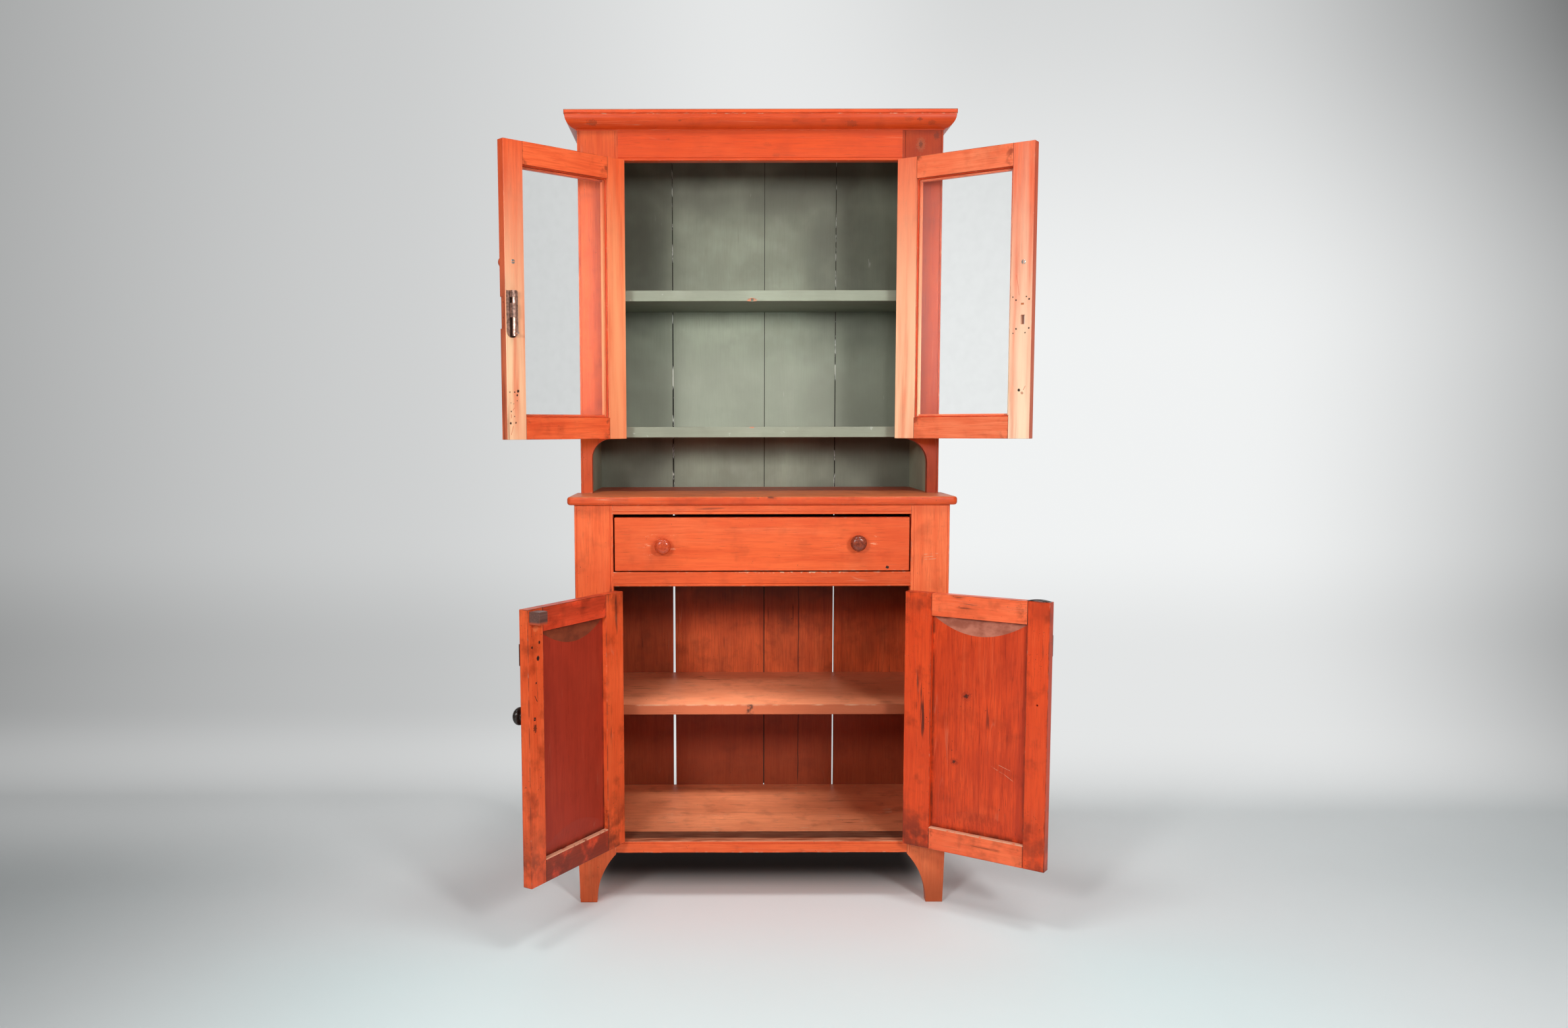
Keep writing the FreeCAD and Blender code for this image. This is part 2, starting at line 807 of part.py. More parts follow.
def make_cornice():
    """A thin overhanging top with an ovolo moulding mitred round the front and sides."""
    reach = half_width + s.cornice_projection
    crest = upper_front - s.cornice_projection
    top = prism(
        "XY_Plane",
        [(-reach, crest), (reach, crest), (reach, back), (-reach, back)],
        top_underside,
        s.overall_height,
    )
    fillet(top, s.top_corner, lambda edge: edge.BoundBox.YMax < crest.number + TOUCH)
    node("top_board", top)

    rim = s.cornice_projection - s.cornice_reveal
    drop = rim - s.cornice_foot
    above_curve = s.cornice_curve - drop
    curve_fall = root(s.cornice_curve * s.cornice_curve - above_curve * above_curve)
    curve_top = top_underside - s.cornice_step
    curve_end = curve_top - curve_fall
    foot = curve_end - s.cornice_step

    def section(face, outward):
        centre = (face + outward * (rim - s.cornice_curve), curve_top)
        return [
            (face, top_underside),
            (face + outward * rim, top_underside),
            (face + outward * rim, curve_top),
            (face + outward * s.cornice_foot, curve_end, centre, s.cornice_curve),
            (face + outward * s.cornice_foot, foot),
            (face, foot),
        ]

    mitre_front = [(-reach, crest), (reach, crest), (half_width, upper_front), (-half_width, upper_front)]
    front_length = prism("YZ_Plane", section(upper_front, -1), -reach, reach)
    node("cornice_front", common(front_length, prism("XY_Plane", mitre_front, foot, top_underside)))
    returns = []
    for side in (LEFT, RIGHT):
        mitre = [
            (side * half_width, upper_front),
            (side * reach, crest),
            (side * reach, back),
            (side * half_width, back),
        ]
        side_length = prism("XZ_Plane", section(side * half_width, side), crest, back)
        returns.append(common(side_length, prism("XY_Plane", mitre, foot, top_underside)))
    node("cornice_returns", *returns)


class Door:
    """Where a door hangs and how far it stands open; its pieces are drawn shut, from the hinge axis."""

    def __init__(self, side, edge, face, thickness, low, high, angle):
        self.side = side
        self.hinge_x = side * (edge - s.hinge_gap / 2)
        self.hinge_y = face - s.hinge_proud
        self.width = edge - s.hinge_gap - s.door_gap / 2
        self.thickness = thickness
        self.low = low
        self.high = high
        self.angle = angle
        self.outer_face = s.hinge_proud
        self.inner_face = s.hinge_proud + thickness

    def across(self, near, far):
        """Low and high x of a stretch measured from the door's hinge edge."""
        near = s.hinge_gap / 2 + near
        far = s.hinge_gap / 2 + far
        return (near, far) if self.side == LEFT else (-far, -near)

    def at(self, distance):
        """The x of a distance from the door's hinge edge."""
        return -self.side * (s.hinge_gap / 2 + distance)

    def pose(self, item):
        """Swings a piece open about the hinge axis."""
        axis = FreeCAD.Vector(0, 0, self.side)
        item.Placement = FreeCAD.Placement(FreeCAD.Vector(), FreeCAD.Rotation(axis, self.angle.number))
        bind(item, "Placement.Rotation.Angle", self.angle)
        place(item, self.hinge_x, self.hinge_y, 0)


def upper_door(side):
    """A glazed door of the upper case."""
    low = bay_top + s.upper_door_lift
    high = frieze_bottom - s.upper_door_top_gap
    angle = s.left_upper_angle if side == LEFT else s.right_upper_angle
    return Door(side, upper_edge, upper_front, s.upper_door_thickness, low, high, angle)


def lower_door(side):
    """A panelled door of the lower case."""
    low = floor_top + s.lower_door_lift
    high = drawer_rail_bottom - s.lower_door_top_gap
    angle = s.left_lower_angle if side == LEFT else s.right_lower_angle
    return Door(side, lower_edge, front, s.lower_door_thickness, low, high, angle)


def door_tenons(door, hinge_stile, lock_stile, rail_low, rail_high, y):
    """The two tenons of one door rail."""
    depth = (y, y + s.door_tenon_thickness)
    height = (rail_low + s.tenon_shoulder, rail_high - s.tenon_shoulder)
    lock_edge = door.width - lock_stile
    return [
        block(door.across(hinge_stile - s.door_tenon_length, hinge_stile), depth, height),
        block(door.across(lock_edge, lock_edge + s.door_tenon_length), depth, height),
    ]


def make_upper_door(side, prefix):
    """Stiles and rails rebated inside for the glass, with stub tenons at the corners."""
    door = upper_door(side)
    member = s.upper_door_member
    lip = member + s.glazing_lip_width
    rebate = (door.outer_face + s.glazing_lip_thickness, door.inner_face)
    lip_depth = (door.outer_face, rebate[0])
    full_depth = (door.outer_face, door.inner_face)
    tenon_y = rebate[0] + (s.upper_door_thickness - s.glazing_lip_thickness - s.door_tenon_thickness) / 2
    top_rail = (door.high - member, door.high)
    bottom_rail = (door.low, door.low + member)
    tenons = [
        tenon
        for low, high in (top_rail, bottom_rail)
        for tenon in door_tenons(door, member, member, low, high, tenon_y)
    ]
    far_lip = door.width - lip
    stiles = (
        ("hinge_stile", (0, lip), (member, lip), tenons[::2]),
        ("lock_stile", (far_lip, door.width), (far_lip, door.width - member), tenons[1::2]),
    )
    for name, extent, rebated, mortises in stiles:
        upright = board(door.across(*extent), full_depth, (door.low, door.high))
        cuts = [block(door.across(*rebated), rebate, (door.low, door.high)), *mortises]
        if name == "lock_stile":
            cuts.append(lock_slot(door) if side == RIGHT else strike_recess(door))
        node(f"{prefix}_{name}", cut(upright, *cuts), pose=door.pose)
    rails = []
    for (low, high), lip_height, pair in (
        (top_rail, (top_rail[0] - s.glazing_lip_width, door.high), tenons[:2]),
        (bottom_rail, (door.low, bottom_rail[1] + s.glazing_lip_width), tenons[2:]),
    ):
        inner_part = block(door.across(member, door.width - member), rebate, (low, high))
        outer_part = block(door.across(lip, door.width - lip), lip_depth, lip_height)
        rails.append(join(inner_part, outer_part, *pair))
    node(f"{prefix}_rails", *rails, pose=door.pose)
    edge = member + s.glass_clearance
    glass = block(
        door.across(edge, door.width - edge),
        (rebate[0], rebate[0] + s.glass_thickness),
        (door.low + edge, door.high - edge),
    )
    node(f"{prefix}_glass", glass, pose=door.pose)
    knob = turned_knob(s.small_knob_diameter, s.small_knob_length)
    place(knob, door.at(door.width - s.small_knob_inset), door.outer_face, door.low + s.upper_knob_rise)
    node(f"{prefix}_knob", knob, pose=door.pose)
    make_door_leaves(door, prefix, s.upper_hinge_inset)


def lock_slot(door):
    """A slot right through the lock stile, where a lock once sat."""
    far = door.width - s.lock_slot_inset
    low = door.low + s.lock_slot_rise
    return block(
        door.across(far - s.lock_slot_width, far),
        (door.outer_face, door.inner_face),
        (low, low + s.lock_slot_height),
    )


def strike_recess(door):
    """A shallow recess in the free edge, open to the outer face, for the lock's strike."""
    low = door.low + s.strike_recess_rise
    return block(
        door.across(door.width - s.strike_recess_depth, door.width),
        (door.outer_face, door.outer_face + s.strike_recess_width),
        (low, low + s.strike_recess_height),
    )


def make_lower_door(side, prefix):
    """A frame grooved for a panel that is crowned inside and bevelled at its top and bottom."""
    door = lower_door(side)
    full_depth = (door.outer_face, door.inner_face)
    slot_y = door.outer_face + s.panel_setback
    slot_depth = (slot_y, slot_y + s.panel_edge + s.panel_fit)
    hinge_stile = s.lower_hinge_stile
    lock_edge = door.width - s.lower_lock_stile
    rail = s.lower_door_rail
    top_rail = (door.high - rail, door.high)
    bottom_rail = (door.low, door.low + rail)
    slot_x = (hinge_stile - s.panel_groove, lock_edge + s.panel_groove)
    slot_z = (bottom_rail[1] - s.panel_groove, top_rail[0] + s.panel_groove)
    slot = block(door.across(*slot_x), slot_depth, slot_z)
    tenon_y = door.outer_face + (s.lower_door_thickness - s.door_tenon_thickness) / 2
    tenons = [
        tenon
        for low, high in (top_rail, bottom_rail)
        for tenon in door_tenons(door, hinge_stile, s.lower_lock_stile, low, high, tenon_y)
    ]
    stiles = (
        ("hinge_stile", (0, hinge_stile), tenons[::2]),
        ("lock_stile", (lock_edge, door.width), tenons[1::2]),
    )
    for name, extent, mortises in stiles:
        upright = board(door.across(*extent), full_depth, (door.low, door.high))
        cuts = [slot, *mortises]
        if side == RIGHT and name == "lock_stile":
            hole_x = door.at(door.width - s.screw_hole_inset)
            cuts.append(bar(s.screw_hole_radius, hole_x, full_depth, door.low + s.screw_hole_rise))
        node(f"{prefix}_{name}", cut(upright, *cuts), pose=door.pose)
    rails = [
        cut(join(board(door.across(hinge_stile, lock_edge), full_depth, extent), *pair), slot)
        for extent, pair in ((top_rail, tenons[:2]), (bottom_rail, tenons[2:]))
    ]
    node(f"{prefix}_rails", *rails, pose=door.pose)
    panel = crowned_panel(door, slot_x, slot_z, slot_y, (lock_edge - hinge_stile) / 2)
    node(f"{prefix}_panel", panel, pose=door.pose)
    make_door_leaves(door, prefix, s.lower_hinge_inset)


def crowned_panel(door, slot_x, slot_z, face, half_chord):
    """A panel whose inner side swells between the stiles and is planed off at the top and bottom."""
    low, high = door.across(slot_x[0] + s.panel_play, slot_x[1] - s.panel_play)
    bottom = slot_z[0]
    top = slot_z[1] - s.panel_play
    thickness = s.panel_edge + s.panel_crown
    outline = [
        (face, bottom),
        (face + s.panel_bottom_edge, bottom),
        (face + thickness, bottom + s.panel_bottom_bevel),
        (face + thickness, top - s.panel_top_bevel),
        (face + s.panel_top_edge, top),
        (face, top),
    ]
    crown_radius = (half_chord * half_chord + s.panel_crown * s.panel_crown) / (s.panel_crown * 2)
    middle = (low + high) / 2
    crown = rod(crown_radius, middle, face + thickness - crown_radius, bottom, top)
    return common(prism("YZ_Plane", outline, low, high), crown)


def hinge_heights(door, inset):
    """The low end of each of a door's two hinges."""
    return (door.low + inset, door.high - inset - s.hinge_leaf_height)


def hinge_leaf(door, low, sign, knuckles):
    """A butt-hinge leaf about the hinge axis; sign is +1 for the door's leaf and -1 for the case's."""
    side = -door.side * sign
    plate_face = s.hinge_gap / 2
    across = span(side, plate_face - s.hinge_leaf_thickness, plate_face)
    plate_start = s.hinge_proud + s.knuckle_gap
    plate_end = plate_start + s.hinge_leaf_width
    pieces = [block(across, (plate_start, plate_end), (low, low + s.hinge_leaf_height))]
    for start, end in knuckles:
        pieces.append(rod(s.hinge_knuckle_radius, 0, 0, start, end))
        pieces.append(block(across, (s.hinge_pin_radius + s.hinge_fit, plate_start), (start, end)))
    return join(*pieces)


def knuckle_levels(low):
    """Ends of a hinge's three knuckles: the case leaf's, below and above, and the door leaf's between."""
    third = s.hinge_leaf_height / 3
    below = (low, low + third)
    above = (low + third * 2, low + s.hinge_leaf_height)
    between = (below[1] + s.knuckle_gap, above[0] - s.knuckle_gap)
    return below, between, above


def make_door_leaves(door, prefix, inset):
    """The two leaves that are screwed to a door's hinge edge, each with a bored middle knuckle."""
    leaves = []
    for low in hinge_heights(door, inset):
        between = knuckle_levels(low)[1]
        bore = rod(s.hinge_pin_radius + s.hinge_fit, 0, 0, *between)
        leaves.append(cut(hinge_leaf(door, low, 1, [between]), bore))
    node(f"{prefix}_hinge_leaves", *leaves, pose=door.pose)


def make_case_hinges():
    """The leaves on the stiles' inner edges, and the pins held between their knuckles."""
    leaves = []
    pins = []
    for side in (LEFT, RIGHT):
        upper, lower = upper_door(side), lower_door(side)
        for door, inset in ((upper, s.upper_hinge_inset), (lower, s.lower_hinge_inset)):
            for low in hinge_heights(door, inset):
                below, _, above = knuckle_levels(low)
                leaf = hinge_leaf(door, low, -1, [below, above])
                place(leaf, door.hinge_x, door.hinge_y, 0)
                leaves.append(leaf)
                pins.append(rod(s.hinge_pin_radius, door.hinge_x, door.hinge_y, below[1], above[0]))
    node("case_hinge_leaves", *leaves)
    node("hinge_pins", *pins)


def bolt_axis(door):
    """Place of the bolt's rod on the shut door, from the hinge axis."""
    return door.at(door.width - s.bolt_inset), door.inner_face + s.bolt_rod_standoff


def closed_bolt_axis():
    """Place of the bolt's rod in the case when the door is shut."""
    door = upper_door(LEFT)
    x, y = bolt_axis(door)
    return door.hinge_x + x, door.hinge_y + y


def make_bolt():
    """A barrel bolt that shoots up into the middle shelf."""
    door = upper_door(LEFT)
    x, y = bolt_axis(door)
    high = middle_shelf_bottom - s.bolt_plate_drop
    low = high - s.bolt_plate_height
    half = s.bolt_plate_width / 2
    lobe = (x, low + half)
    plate_outline = [
        (x - half, high),
        (x - half, lobe[1]),
        (x, low, lobe, half),
        (x + half, lobe[1], lobe, half),
        (x + half, high),
    ]
    barrel_high = high - s.bolt_barrel_drop
    barrel_low = barrel_high - s.bolt_barrel_height
    plate = prism("XZ_Plane", plate_outline, door.inner_face, door.inner_face + s.bolt_plate_thickness)
    pieces = [plate]
    bores = []
    shell = s.bolt_rod_radius + s.bolt_fit + s.bolt_wall
    for start, end in ((high - s.bolt_keeper_height, high), (barrel_low, barrel_high)):
        pieces.append(rod(shell, x, y, start, end))
        bores.append(rod(s.bolt_rod_radius + s.bolt_fit, x, y, start, end))
    over_plate = block(
        (x - shell, x + shell), (door.inner_face, y), (high - s.bolt_keeper_height, high)
    )
    over_barrel = block((x - shell, x + shell), (door.inner_face, y), (barrel_low, barrel_high))
    behind = block((x - half, x + half), (door.inner_face - shell, door.inner_face), (low, high))
    node("bolt_plate", cut(join(*pieces, over_plate, over_barrel), *bores, behind), pose=door.pose)

    tip = high - s.bolt_keeper_height - s.bolt_fit
    heel = low + s.bolt_heel_rise
    lever = bar(s.bolt_lever_radius, x, (y, y + s.bolt_lever_length), heel + s.bolt_lever_rise)
    node("bolt_rod", join(rod(s.bolt_rod_radius, x, y, heel, tip), lever), pose=door.pose)


def make_lower_furniture():
    """Knob, catch block and iron plates of the lower doors."""
    left, right = lower_door(LEFT), lower_door(RIGHT)
    knob = turned_knob(s.large_knob_diameter, s.large_knob_length)
    place(knob, left.at(left.width - s.large_knob_inset), left.outer_face, left.low + s.lower_knob_rise)
    node("lower_left_knob", knob, pose=left.pose)
    side = s.catch_block_side
    edge = left.width - s.catch_block_inset
    catch = board(
        left.across(edge - side, edge),
        (left.inner_face, left.inner_face + side),
        (left.high - s.catch_block_drop - side, left.high - s.catch_block_drop),
    )
    node("lower_left_catch_block", catch, pose=left.pose)
    for door, name in ((left, "lower_left_strike_plate"), (right, "lower_right_latch_plate")):
        high = door.high - s.latch_plate_drop
        plate = block(
            door.across(door.width - s.latch_plate_width, door.width),
            (door.outer_face - s.latch_plate_thickness, door.outer_face),
            (high - s.latch_plate_height, high),
        )
        node(name, plate, pose=door.pose)
    node("lower_right_top_spring", top_spring(right), pose=right.pose)


def top_spring(door):
    """A bowed flat spring on the top edge that holds the shut door by friction."""
    far = door.width - s.top_spring_inset
    low, high = door.across(far - s.top_spring_length, far)
    rise = s.top_spring_rise
    half_chord = s.top_spring_length / 2
    radius = (half_chord * half_chord + rise * rise) / (rise * 2)
    inner_radius = radius - s.top_spring_thickness
    drop = radius - rise
    inner_half_chord = root(inner_radius * inner_radius - drop * drop)
    middle = (low + high) / 2
    centre = (middle, door.high - drop)
    outline = [
        (low, door.high, centre, radius),
        (middle - inner_half_chord, door.high),
        (middle + inner_half_chord, door.high, centre, inner_radius),
        (high, door.high),
    ]
    depth = door.outer_face + (door.thickness - s.top_spring_width) / 2
    return prism("XZ_Plane", outline, depth, depth + s.top_spring_width)


make_sides()
make_back_boards()
make_rails()
make_lower_stiles()
make_upper_stiles()
make_counter()
make_shelves()
make_drawer_supports()
make_drawer()
make_cornice()
make_upper_door(LEFT, "upper_left")
make_upper_door(RIGHT, "upper_right")
make_lower_door(LEFT, "lower_left")
make_lower_door(RIGHT, "lower_right")
make_case_hinges()
make_bolt()
make_lower_furniture()
doc.recompute()

failed = [item.Label for item in doc.Objects if {"Invalid", "Error"} & set(item.State)]
failed += [item.Label for item in nodes if item.Shape.isNull() or not item.Shape.isValid()]
if failed:
    raise RuntimeError(f"these objects failed: {failed}")
os.makedirs("parts", exist_ok=True)
for item in nodes:
    item.Shape.exportStep(f"parts/{item.Label}.step")
print(len(nodes), "nodes,", sum(len(item.Shape.Solids) for item in nodes), "solids")
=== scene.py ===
"""Looks of the hutch cupboard: finishes, small fittings and marks of wear, studio and camera."""

import json
import math
from dataclasses import dataclass
from functools import partial, reduce

import bmesh
import bpy
from mathutils import Matrix, Vector

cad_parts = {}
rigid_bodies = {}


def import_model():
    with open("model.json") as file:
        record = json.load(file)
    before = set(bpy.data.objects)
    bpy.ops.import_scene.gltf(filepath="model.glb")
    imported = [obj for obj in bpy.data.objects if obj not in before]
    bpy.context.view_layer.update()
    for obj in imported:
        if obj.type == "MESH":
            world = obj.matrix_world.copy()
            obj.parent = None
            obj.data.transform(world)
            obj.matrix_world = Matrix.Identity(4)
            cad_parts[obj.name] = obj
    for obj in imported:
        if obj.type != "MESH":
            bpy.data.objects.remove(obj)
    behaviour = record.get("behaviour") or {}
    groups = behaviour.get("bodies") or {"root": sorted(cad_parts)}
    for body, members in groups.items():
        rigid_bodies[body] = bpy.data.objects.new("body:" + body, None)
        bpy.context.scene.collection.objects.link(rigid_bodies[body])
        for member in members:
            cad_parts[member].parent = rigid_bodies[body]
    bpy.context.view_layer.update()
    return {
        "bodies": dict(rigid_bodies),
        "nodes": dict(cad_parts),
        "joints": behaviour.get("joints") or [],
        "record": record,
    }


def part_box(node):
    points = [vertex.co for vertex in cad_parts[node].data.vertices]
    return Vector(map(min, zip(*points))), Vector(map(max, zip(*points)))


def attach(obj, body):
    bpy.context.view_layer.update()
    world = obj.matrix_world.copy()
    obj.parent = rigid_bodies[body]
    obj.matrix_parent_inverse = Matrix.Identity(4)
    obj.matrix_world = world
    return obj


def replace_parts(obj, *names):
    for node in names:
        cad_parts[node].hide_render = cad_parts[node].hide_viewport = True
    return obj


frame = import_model()
cad = frame["nodes"]

MM = 0.001

# Finishes, as linear colours
ORANGE = (0.80, 0.098, 0.021)
RED = (0.62, 0.056, 0.013)
LIGHT_ORANGE = (0.85, 0.175, 0.060)
CRIMSON = (0.40, 0.036, 0.016)
PALE_WOOD = (0.66, 0.42, 0.27)
WARM_WOOD = (0.66, 0.150, 0.052)
BROWN = (0.34, 0.105, 0.045)
DARK = (0.030, 0.013, 0.009)
GRIME = (0.20, 0.030, 0.012)
SHADE = (0.060, 0.013, 0.006)
GREEN = (0.350, 0.380, 0.285)
PALE_GREEN = (0.44, 0.45, 0.36)
DUSKY_GREEN = (0.185, 0.190, 0.140)
RAW_WOOD = (0.33, 0.195, 0.105)
IRON = (0.085, 0.060, 0.052)
BRIGHT_STEEL = (0.62, 0.56, 0.50)

# Base, deep and light tone of each orange paint
ORANGE_PAINT = (ORANGE, RED, LIGHT_ORANGE)
# A darker copy for the top boards: painted shade against the highlights up there
TOP_PAINT = ((0.66, 0.070, 0.010), (0.52, 0.046, 0.009), (0.72, 0.112, 0.028))
# A lighter copy for the low front boards: painted light
LOW_PAINT = ((0.82, 0.128, 0.033), (0.66, 0.070, 0.017), (0.87, 0.205, 0.078))
LEFT_PAINT = ((0.88, 0.128, 0.034), (0.68, 0.068, 0.017), (0.90, 0.205, 0.080))
RED_PAINT = ((0.77, 0.076, 0.015), (0.57, 0.044, 0.010), (0.83, 0.130, 0.036))

# Distances in metres between which one finish turns into another
ABOVE_COUNTER = (1.040, 1.042)
BELOW_COUNTER = (1.042, 1.040)
COUNTER_TOP = (1.0505, 1.0525)
TOP_FACE = (2.0335, 2.0350)
REAR_FACE = (0.2425, 0.2440)
SIDE_INNER_FACE = (0.4530, 0.4515)
GREEN_SHELF_FRONT = (-0.060, -0.063)
WOOD_SHELF_FRONT = (-0.1835, -0.1855)

# Places in millimetres, in the frame of the case or of a door
DRAWER_KNOBS = ((-250, 929), (242, 936))
OUTER_FACE = 3.8
UPPER_INNER_FACE = 27.9
LOWER_INNER_FACE = 28.9


def scaled(tone, factor):
    """A darker or brighter tone of the same colour."""
    return tuple(min(1.0, factor * value) for value in tone)


class Place:
    """The frame in which a board's own directions are read: the case's, or an open door's."""

    def __init__(self, body):
        self.matrix = Matrix()
        self.is_door = body.endswith("door")
        if self.is_door:
            joint = next(joint for joint in frame["joints"] if joint["child"] == body)
            self.side = -1 if "left" in body else 1
            self.turn = -self.side * math.radians(-joint["range_deg"][0])
            self.hinge = Vector((joint["pos_m"][0], joint["pos_m"][1], 0.0))
            flip = Matrix.Diagonal((-self.side, 1.0, 1.0, 1.0))
            self.matrix = flip @ Matrix.Rotation(self.turn, 4, "Z") @ Matrix.Translation(-self.hinge)

    def world(self, x, y, z):
        """A point of this frame, given in millimetres, in the row's frame in metres."""
        return self.matrix.inverted() @ (Vector((x, y, z)) * MM)

    def inward(self):
        """The direction from a door's outer face to its inner one."""
        return (self.world(0, 1, 0) - self.world(0, 0, 0)).normalized()

    def extent(self, name):
        """The node's lowest and highest corner in this frame."""
        points = [self.matrix @ vertex.co for vertex in cad[name].data.vertices]
        low = Vector([min(point[axis] for point in points) for axis in range(3)])
        high = Vector([max(point[axis] for point in points) for axis in range(3)])
        return low, high


@dataclass
class Coat:
    """A coat of paint or a bare surface on one board: its tones, grain, wear and marks."""

    base: tuple
    deep: tuple
    light: tuple
    grain: str = "z"
    wear: float = 0.35
    wear_colour: tuple = PALE_WOOD
    stain: float = 0.25
    gloss: float = 0.36
    streak: float = 0.55
    relief: float = 1.0


class Skin:
    """One material's node tree, built with short calls that return output sockets.

    Its layers are the colour, roughness and height that coats and marks have built up so far.
    """

    def __init__(self, name, place, seed=0.0, extent=None):
        self.material = bpy.data.materials.new(name)
        self.material.use_nodes = True
        self.tree = self.material.node_tree
        self.tree.nodes.clear()
        self.seed = seed
        self.extent = extent
        self.layers = None
        self.bsdf = self.add("BsdfPrincipled", {"Specular IOR Level": 0.24})
        self.output = self.add("OutputMaterial", {"Surface": self.bsdf.outputs[0]})
        self.here = self.position(place)
        self.x, self.y, self.z = self.add("SeparateXYZ", {0: self.here}).outputs

    def position(self, place):
        """The point on the rest-pose object, turned into the board's own frame."""
        raw = self.add("TexCoord").outputs["Object"]
        if not place.is_door:
            return raw
        moved = self.value("VectorMath", {0: raw, 1: place.hinge}, operation="SUBTRACT")
        settings = {"Vector": moved, "Angle": place.turn}
        turned = self.value("VectorRotate", settings, rotation_type="Z_AXIS")
        return self.stretch(turned, (-place.side, 1.0, 1.0))

    def add(self, kind, inputs=None, **settings):
        """A new node with its settings and inputs."""
        node = self.tree.nodes.new("ShaderNode" + kind)
        for key, value in settings.items():
            setattr(node, key, value)
        for key, value in (inputs or {}).items():
            self.feed(node, key, value)
        return node

    def feed(self, node, key, value):
        """Links a node's input to a socket, or sets it to a value."""
        if isinstance(value, bpy.types.NodeSocket):
            self.tree.links.new(value, node.inputs[key])
        else:
            node.inputs[key].default_value = value

    def value(self, kind, inputs, **settings):
        """The first output of a new node."""
        return self.add(kind, inputs, **settings).outputs[0]

    def socket(self, value):
        """The coordinate that an axis name stands for, or the value itself."""
        return getattr(self, value) if isinstance(value, str) else value

    def math(self, operation, a, b=0.0):
        return self.value("Math", {0: a, 1: b}, operation=operation)

    def plus(self, *values):
        """The sum of several values."""
        return reduce(partial(self.math, "ADD"), values)

    def minus(self, a, b):
        return self.math("SUBTRACT", a, b)

    def distance(self, value, middle):
        """How far a value, or the coordinate of that name, is from the middle."""
        return self.math("ABSOLUTE", self.minus(self.socket(value), middle))

    def stretch(self, vector, factors):
        return self.value("VectorMath", {0: vector, 1: factors}, operation="MULTIPLY")

    def along(self, grain):
        """Coordinates drawn out along the grain."""
        factors = {"x": (0.05, 1.0, 1.0), "y": (1.0, 0.05, 1.0), "z": (1.0, 1.0, 0.05)}[grain]
        return self.stretch(self.here, factors)

    def noise(self, scale, detail=3.0, shift=0.0, vector=None):
        """Noise at the point itself, or at another vector."""
        inputs = {"W": self.seed + shift, "Scale": scale, "Detail": detail, "Roughness": 0.55}
        inputs["Vector"] = self.here if vector is None else vector
        return self.value("TexNoise", inputs, noise_dimensions="4D")

    def drawn(self, factors, scale, detail=3.0, shift=0.0):
        """Noise drawn out by factors along the three axes."""
        return self.noise(scale, detail, shift, self.stretch(self.here, factors))

    def blotch(self, low, high, scale, detail=3.0, shift=0.0):
        """Noise sharpened into patches."""
        return self.ramp(self.noise(scale, detail, shift), low, high)

    def ramp(self, value, low, high, strength=1.0):
        """0 at low and the strength at high, smoothly between them; low may be the larger one."""
        inputs = {"Value": self.socket(value), "From Min": low, "From Max": high, "To Max": strength}
        return self.value("MapRange", inputs, interpolation_type="SMOOTHSTEP")

    def mix(self, factor, a, b):
        """Colour a, turning into colour b as the factor goes from 0 to 1."""
        node = self.add("Mix", {0: factor}, data_type="RGBA")
        first_colour, second_colour = 6, 7
        for index, value in ((first_colour, a), (second_colour, b)):
            self.feed(node, index, (*value, 1.0) if isinstance(value, tuple) else value)
        return node.outputs[2]

    def both(self, *masks):
        """The product of several masks."""
        return reduce(partial(self.math, "MULTIPLY"), masks)

    def either(self, *masks):
        """The largest of several masks."""
        return reduce(partial(self.math, "MAXIMUM"), masks)

    def between(self, value, low, high, soft):
        """1 from low to high, fading out over the soft distance."""
        return self.both(self.ramp(value, low - soft, low), self.ramp(value, high + soft, high))

    def edge(self, reach):
        """1 on the board's arrises, 0 from the given distance inwards."""
        gaps = []
        for value, low, high in zip((self.x, self.y, self.z), *self.extent):
            gaps.append(self.math("MINIMUM", self.minus(value, low), self.minus(high, value)))
        a, b, c = gaps
        second = self.either(self.math("MINIMUM", a, b), self.math("MINIMUM", self.either(a, b), c))
        return self.ramp(second, reach, 0.0)

    def spot(self, across, along, radius, ragged=0.3, tall=1.0, on_edge=False):
        """A round or oval mark on a board's face or edge, given in millimetres of the board's frame."""
        a = self.minus(self.y if on_edge else self.x, across * MM)
        b = self.math("DIVIDE", self.minus(self.z, along * MM), tall)
        reach = self.math("SQRT", self.plus(self.both(a, a), self.both(b, b)))
        wobble = self.minus(self.noise(350.0, 2.0), 0.5)
        reach = self.plus(reach, self.both(wobble, radius * MM * ragged * 4.0))
        return self.ramp(reach, radius * MM, radius * MM * 0.62)

    def scratch(self, start, end, width):
        """A straight scratch between two points of the face, in millimetres."""
        ax, az = start
        bx, bz = end
        length = math.hypot(bx - ax, bz - az)
        ux, uz = (bx - ax) / length, (bz - az) / length
        px = self.minus(self.x, ax * MM)
        pz = self.minus(self.z, az * MM)
        along = self.plus(self.both(px, ux), self.both(pz, uz))
        off = self.distance(self.both(px, uz), self.both(pz, ux))
        line = self.ramp(off, width * MM, width * MM * 0.4)
        return self.both(line, self.between(along, 0.0, length * MM, 1.5 * MM))

